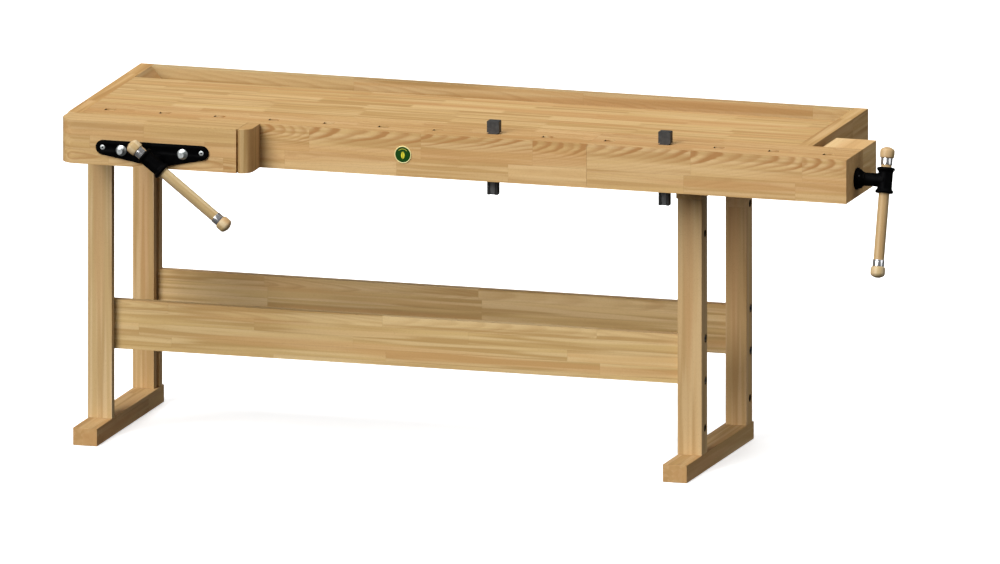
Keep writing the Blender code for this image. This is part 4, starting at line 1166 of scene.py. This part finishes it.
def make_dog_spring(side, body, material):
    """A leaf spring, bowed forwards and narrowed at both ends."""
    node = f"dog_spring_{side}"
    low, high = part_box(node)
    size = high - low
    middle = (low.x + high.x) / 2
    mesh = bmesh.new()
    rows = []
    for i in range(SPRING_STEPS + 1):
        t = i / SPRING_STEPS
        z = low.z + size.z * t
        bow = math.sin(math.pi * t)
        y = high.y - (size.y - SPRING_THICK) * bow - SPRING_CLEAR * (1 - bow)
        half = size.x / 2 * (1.0 - SPRING_NARROWS * max(0.0, abs(t - 0.5) * 2 - 0.8) / 0.2)
        outline = ((-half, y), (half, y), (half, y - SPRING_THICK), (-half, y - SPRING_THICK))
        rows.append([mesh.verts.new((middle + across, depth, z)) for across, depth in outline])
    for first, second in zip(rows, rows[1:]):
        for i in range(4):
            j = (i + 1) % 4
            mesh.faces.new((first[i], first[j], second[j], second[i]))
    mesh.faces.new(rows[0][::-1])
    mesh.faces.new(rows[-1])
    new_piece(node + "_leaf", mesh, material, body, [node])


# Stage, lights and camera

FLOOR_SIZE = 30.0
FLOOR_LEVEL = -0.0005
FLOOR_GLOW = 0.62
WORLD_GLOW = 0.07
WHITE = (1.0, 1.0, 1.0, 1.0)
SUNS = (  # (name, azimuth, elevation, spread, strength, whether polished pieces reflect it)
    ("key_low", -24, 22, 36, 0.72, True),
    ("key_high", -24, 52, 34, 0.61, True),
    ("top", 0, 88, 30, 0.4, True),
    ("fill", 88, 20, 50, 0.25, True),
    ("back", 180, 18, 50, 0.16, False),
)


def sphere_direction(azimuth, elevation):
    """Azimuth 0 is in front of the bench, and grows towards its right end."""
    return Vector(
        (
            math.sin(azimuth) * math.cos(elevation),
            -math.cos(azimuth) * math.cos(elevation),
            math.sin(elevation),
        )
    )


def make_camera():
    back = sphere_direction(VIEW_AZIMUTH, VIEW_ELEVATION)
    data = bpy.data.cameras.new("camera")
    data.type = "ORTHO"
    data.ortho_scale = VIEW_WIDTH
    data.clip_end = 60.0
    camera = new_object("camera", data)
    camera.location = VIEW_CENTRE + back * VIEW_DISTANCE
    camera.rotation_euler = (-back).to_track_quat("-Z", "Y").to_euler()
    bpy.context.scene.camera = camera


def make_sun(name, azimuth, elevation, spread, strength, glossy):
    """A soft studio light, far enough away to light the floor evenly. Spread is its width in degrees."""
    direction = sphere_direction(math.radians(azimuth), math.radians(elevation))
    data = bpy.data.lights.new(name, "SUN")
    data.energy = strength * math.pi
    data.angle = math.radians(spread)
    light = new_object(name, data)
    light.location = direction * VIEW_DISTANCE
    light.visible_glossy = glossy
    light.rotation_euler = (-direction).to_track_quat("-Z", "Y").to_euler()


def make_stage():
    made, tree, shader = shader_material("pale_floor")
    place = object_coordinates(tree)
    tint = noise(place, scale=3.0, detail=2.0)
    connect(shader, blend(tint, (0.86, 0.86, 0.86), (0.89, 0.89, 0.89)), roughness=tint * 0.1 + 0.7)
    shader.inputs["Emission Color"].default_value = WHITE
    shader.inputs["Emission Strength"].default_value = FLOOR_GLOW
    mesh = bmesh.new()
    bmesh.ops.create_grid(mesh, x_segments=2, y_segments=2, size=FLOOR_SIZE)
    floor = new_object("floor", mesh_data("floor", mesh), Matrix.Translation((0.0, 0.0, FLOOR_LEVEL)))
    floor.data.materials.append(made)
    floor.visible_diffuse = False
    floor.visible_glossy = False
    world = bpy.data.worlds.new("studio")
    bpy.context.scene.world = world
    world.use_nodes = True
    background = world.node_tree.nodes["Background"]
    background.inputs["Color"].default_value = WHITE
    background.inputs["Strength"].default_value = WORLD_GLOW
    for sun in SUNS:
        make_sun(*sun)
    bpy.context.scene.view_settings.view_transform = "Standard"


CAST = black_cast("black_cast_fine")
THREAD_STEEL = turned_steel("zinc_thread", (0.5, 0.51, 0.52), (0.68, 0.69, 0.69), 0.28)
ZINC = zinc("zinc_plate", (0.5, 0.53, 0.53), (0.66, 0.69, 0.68))
DULL_ZINC = zinc("zinc_plate_dull", (0.12, 0.12, 0.12), (0.2, 0.2, 0.2))
DARK = dark_steel("dark_steel_milled", (0.039, 0.039, 0.039), (0.058, 0.057, 0.055), shank_shade=0.6)
SPRING = dark_steel("dark_steel_spring", (0.1, 0.1, 0.1), (0.14, 0.14, 0.138))

wood_boards()
for node in ("front_vise_nut", "tail_vise_nut"):
    softened(node, CAST, CAST_EDGE)
make_vises(CAST, THREAD_STEEL)
make_front_plate(CAST)
for side in SIDES:
    make_plate_screw(side, ZINC)
    make_guide_bar(side, ZINC)
    make_dog(side, f"dog_{side}", DARK)
    make_dog_spring(side, f"dog_{side}", SPRING)
make_stretcher_bolts(DULL_ZINC)
make_flange(CAST, DARK)
make_badge()
make_stage()
make_camera()
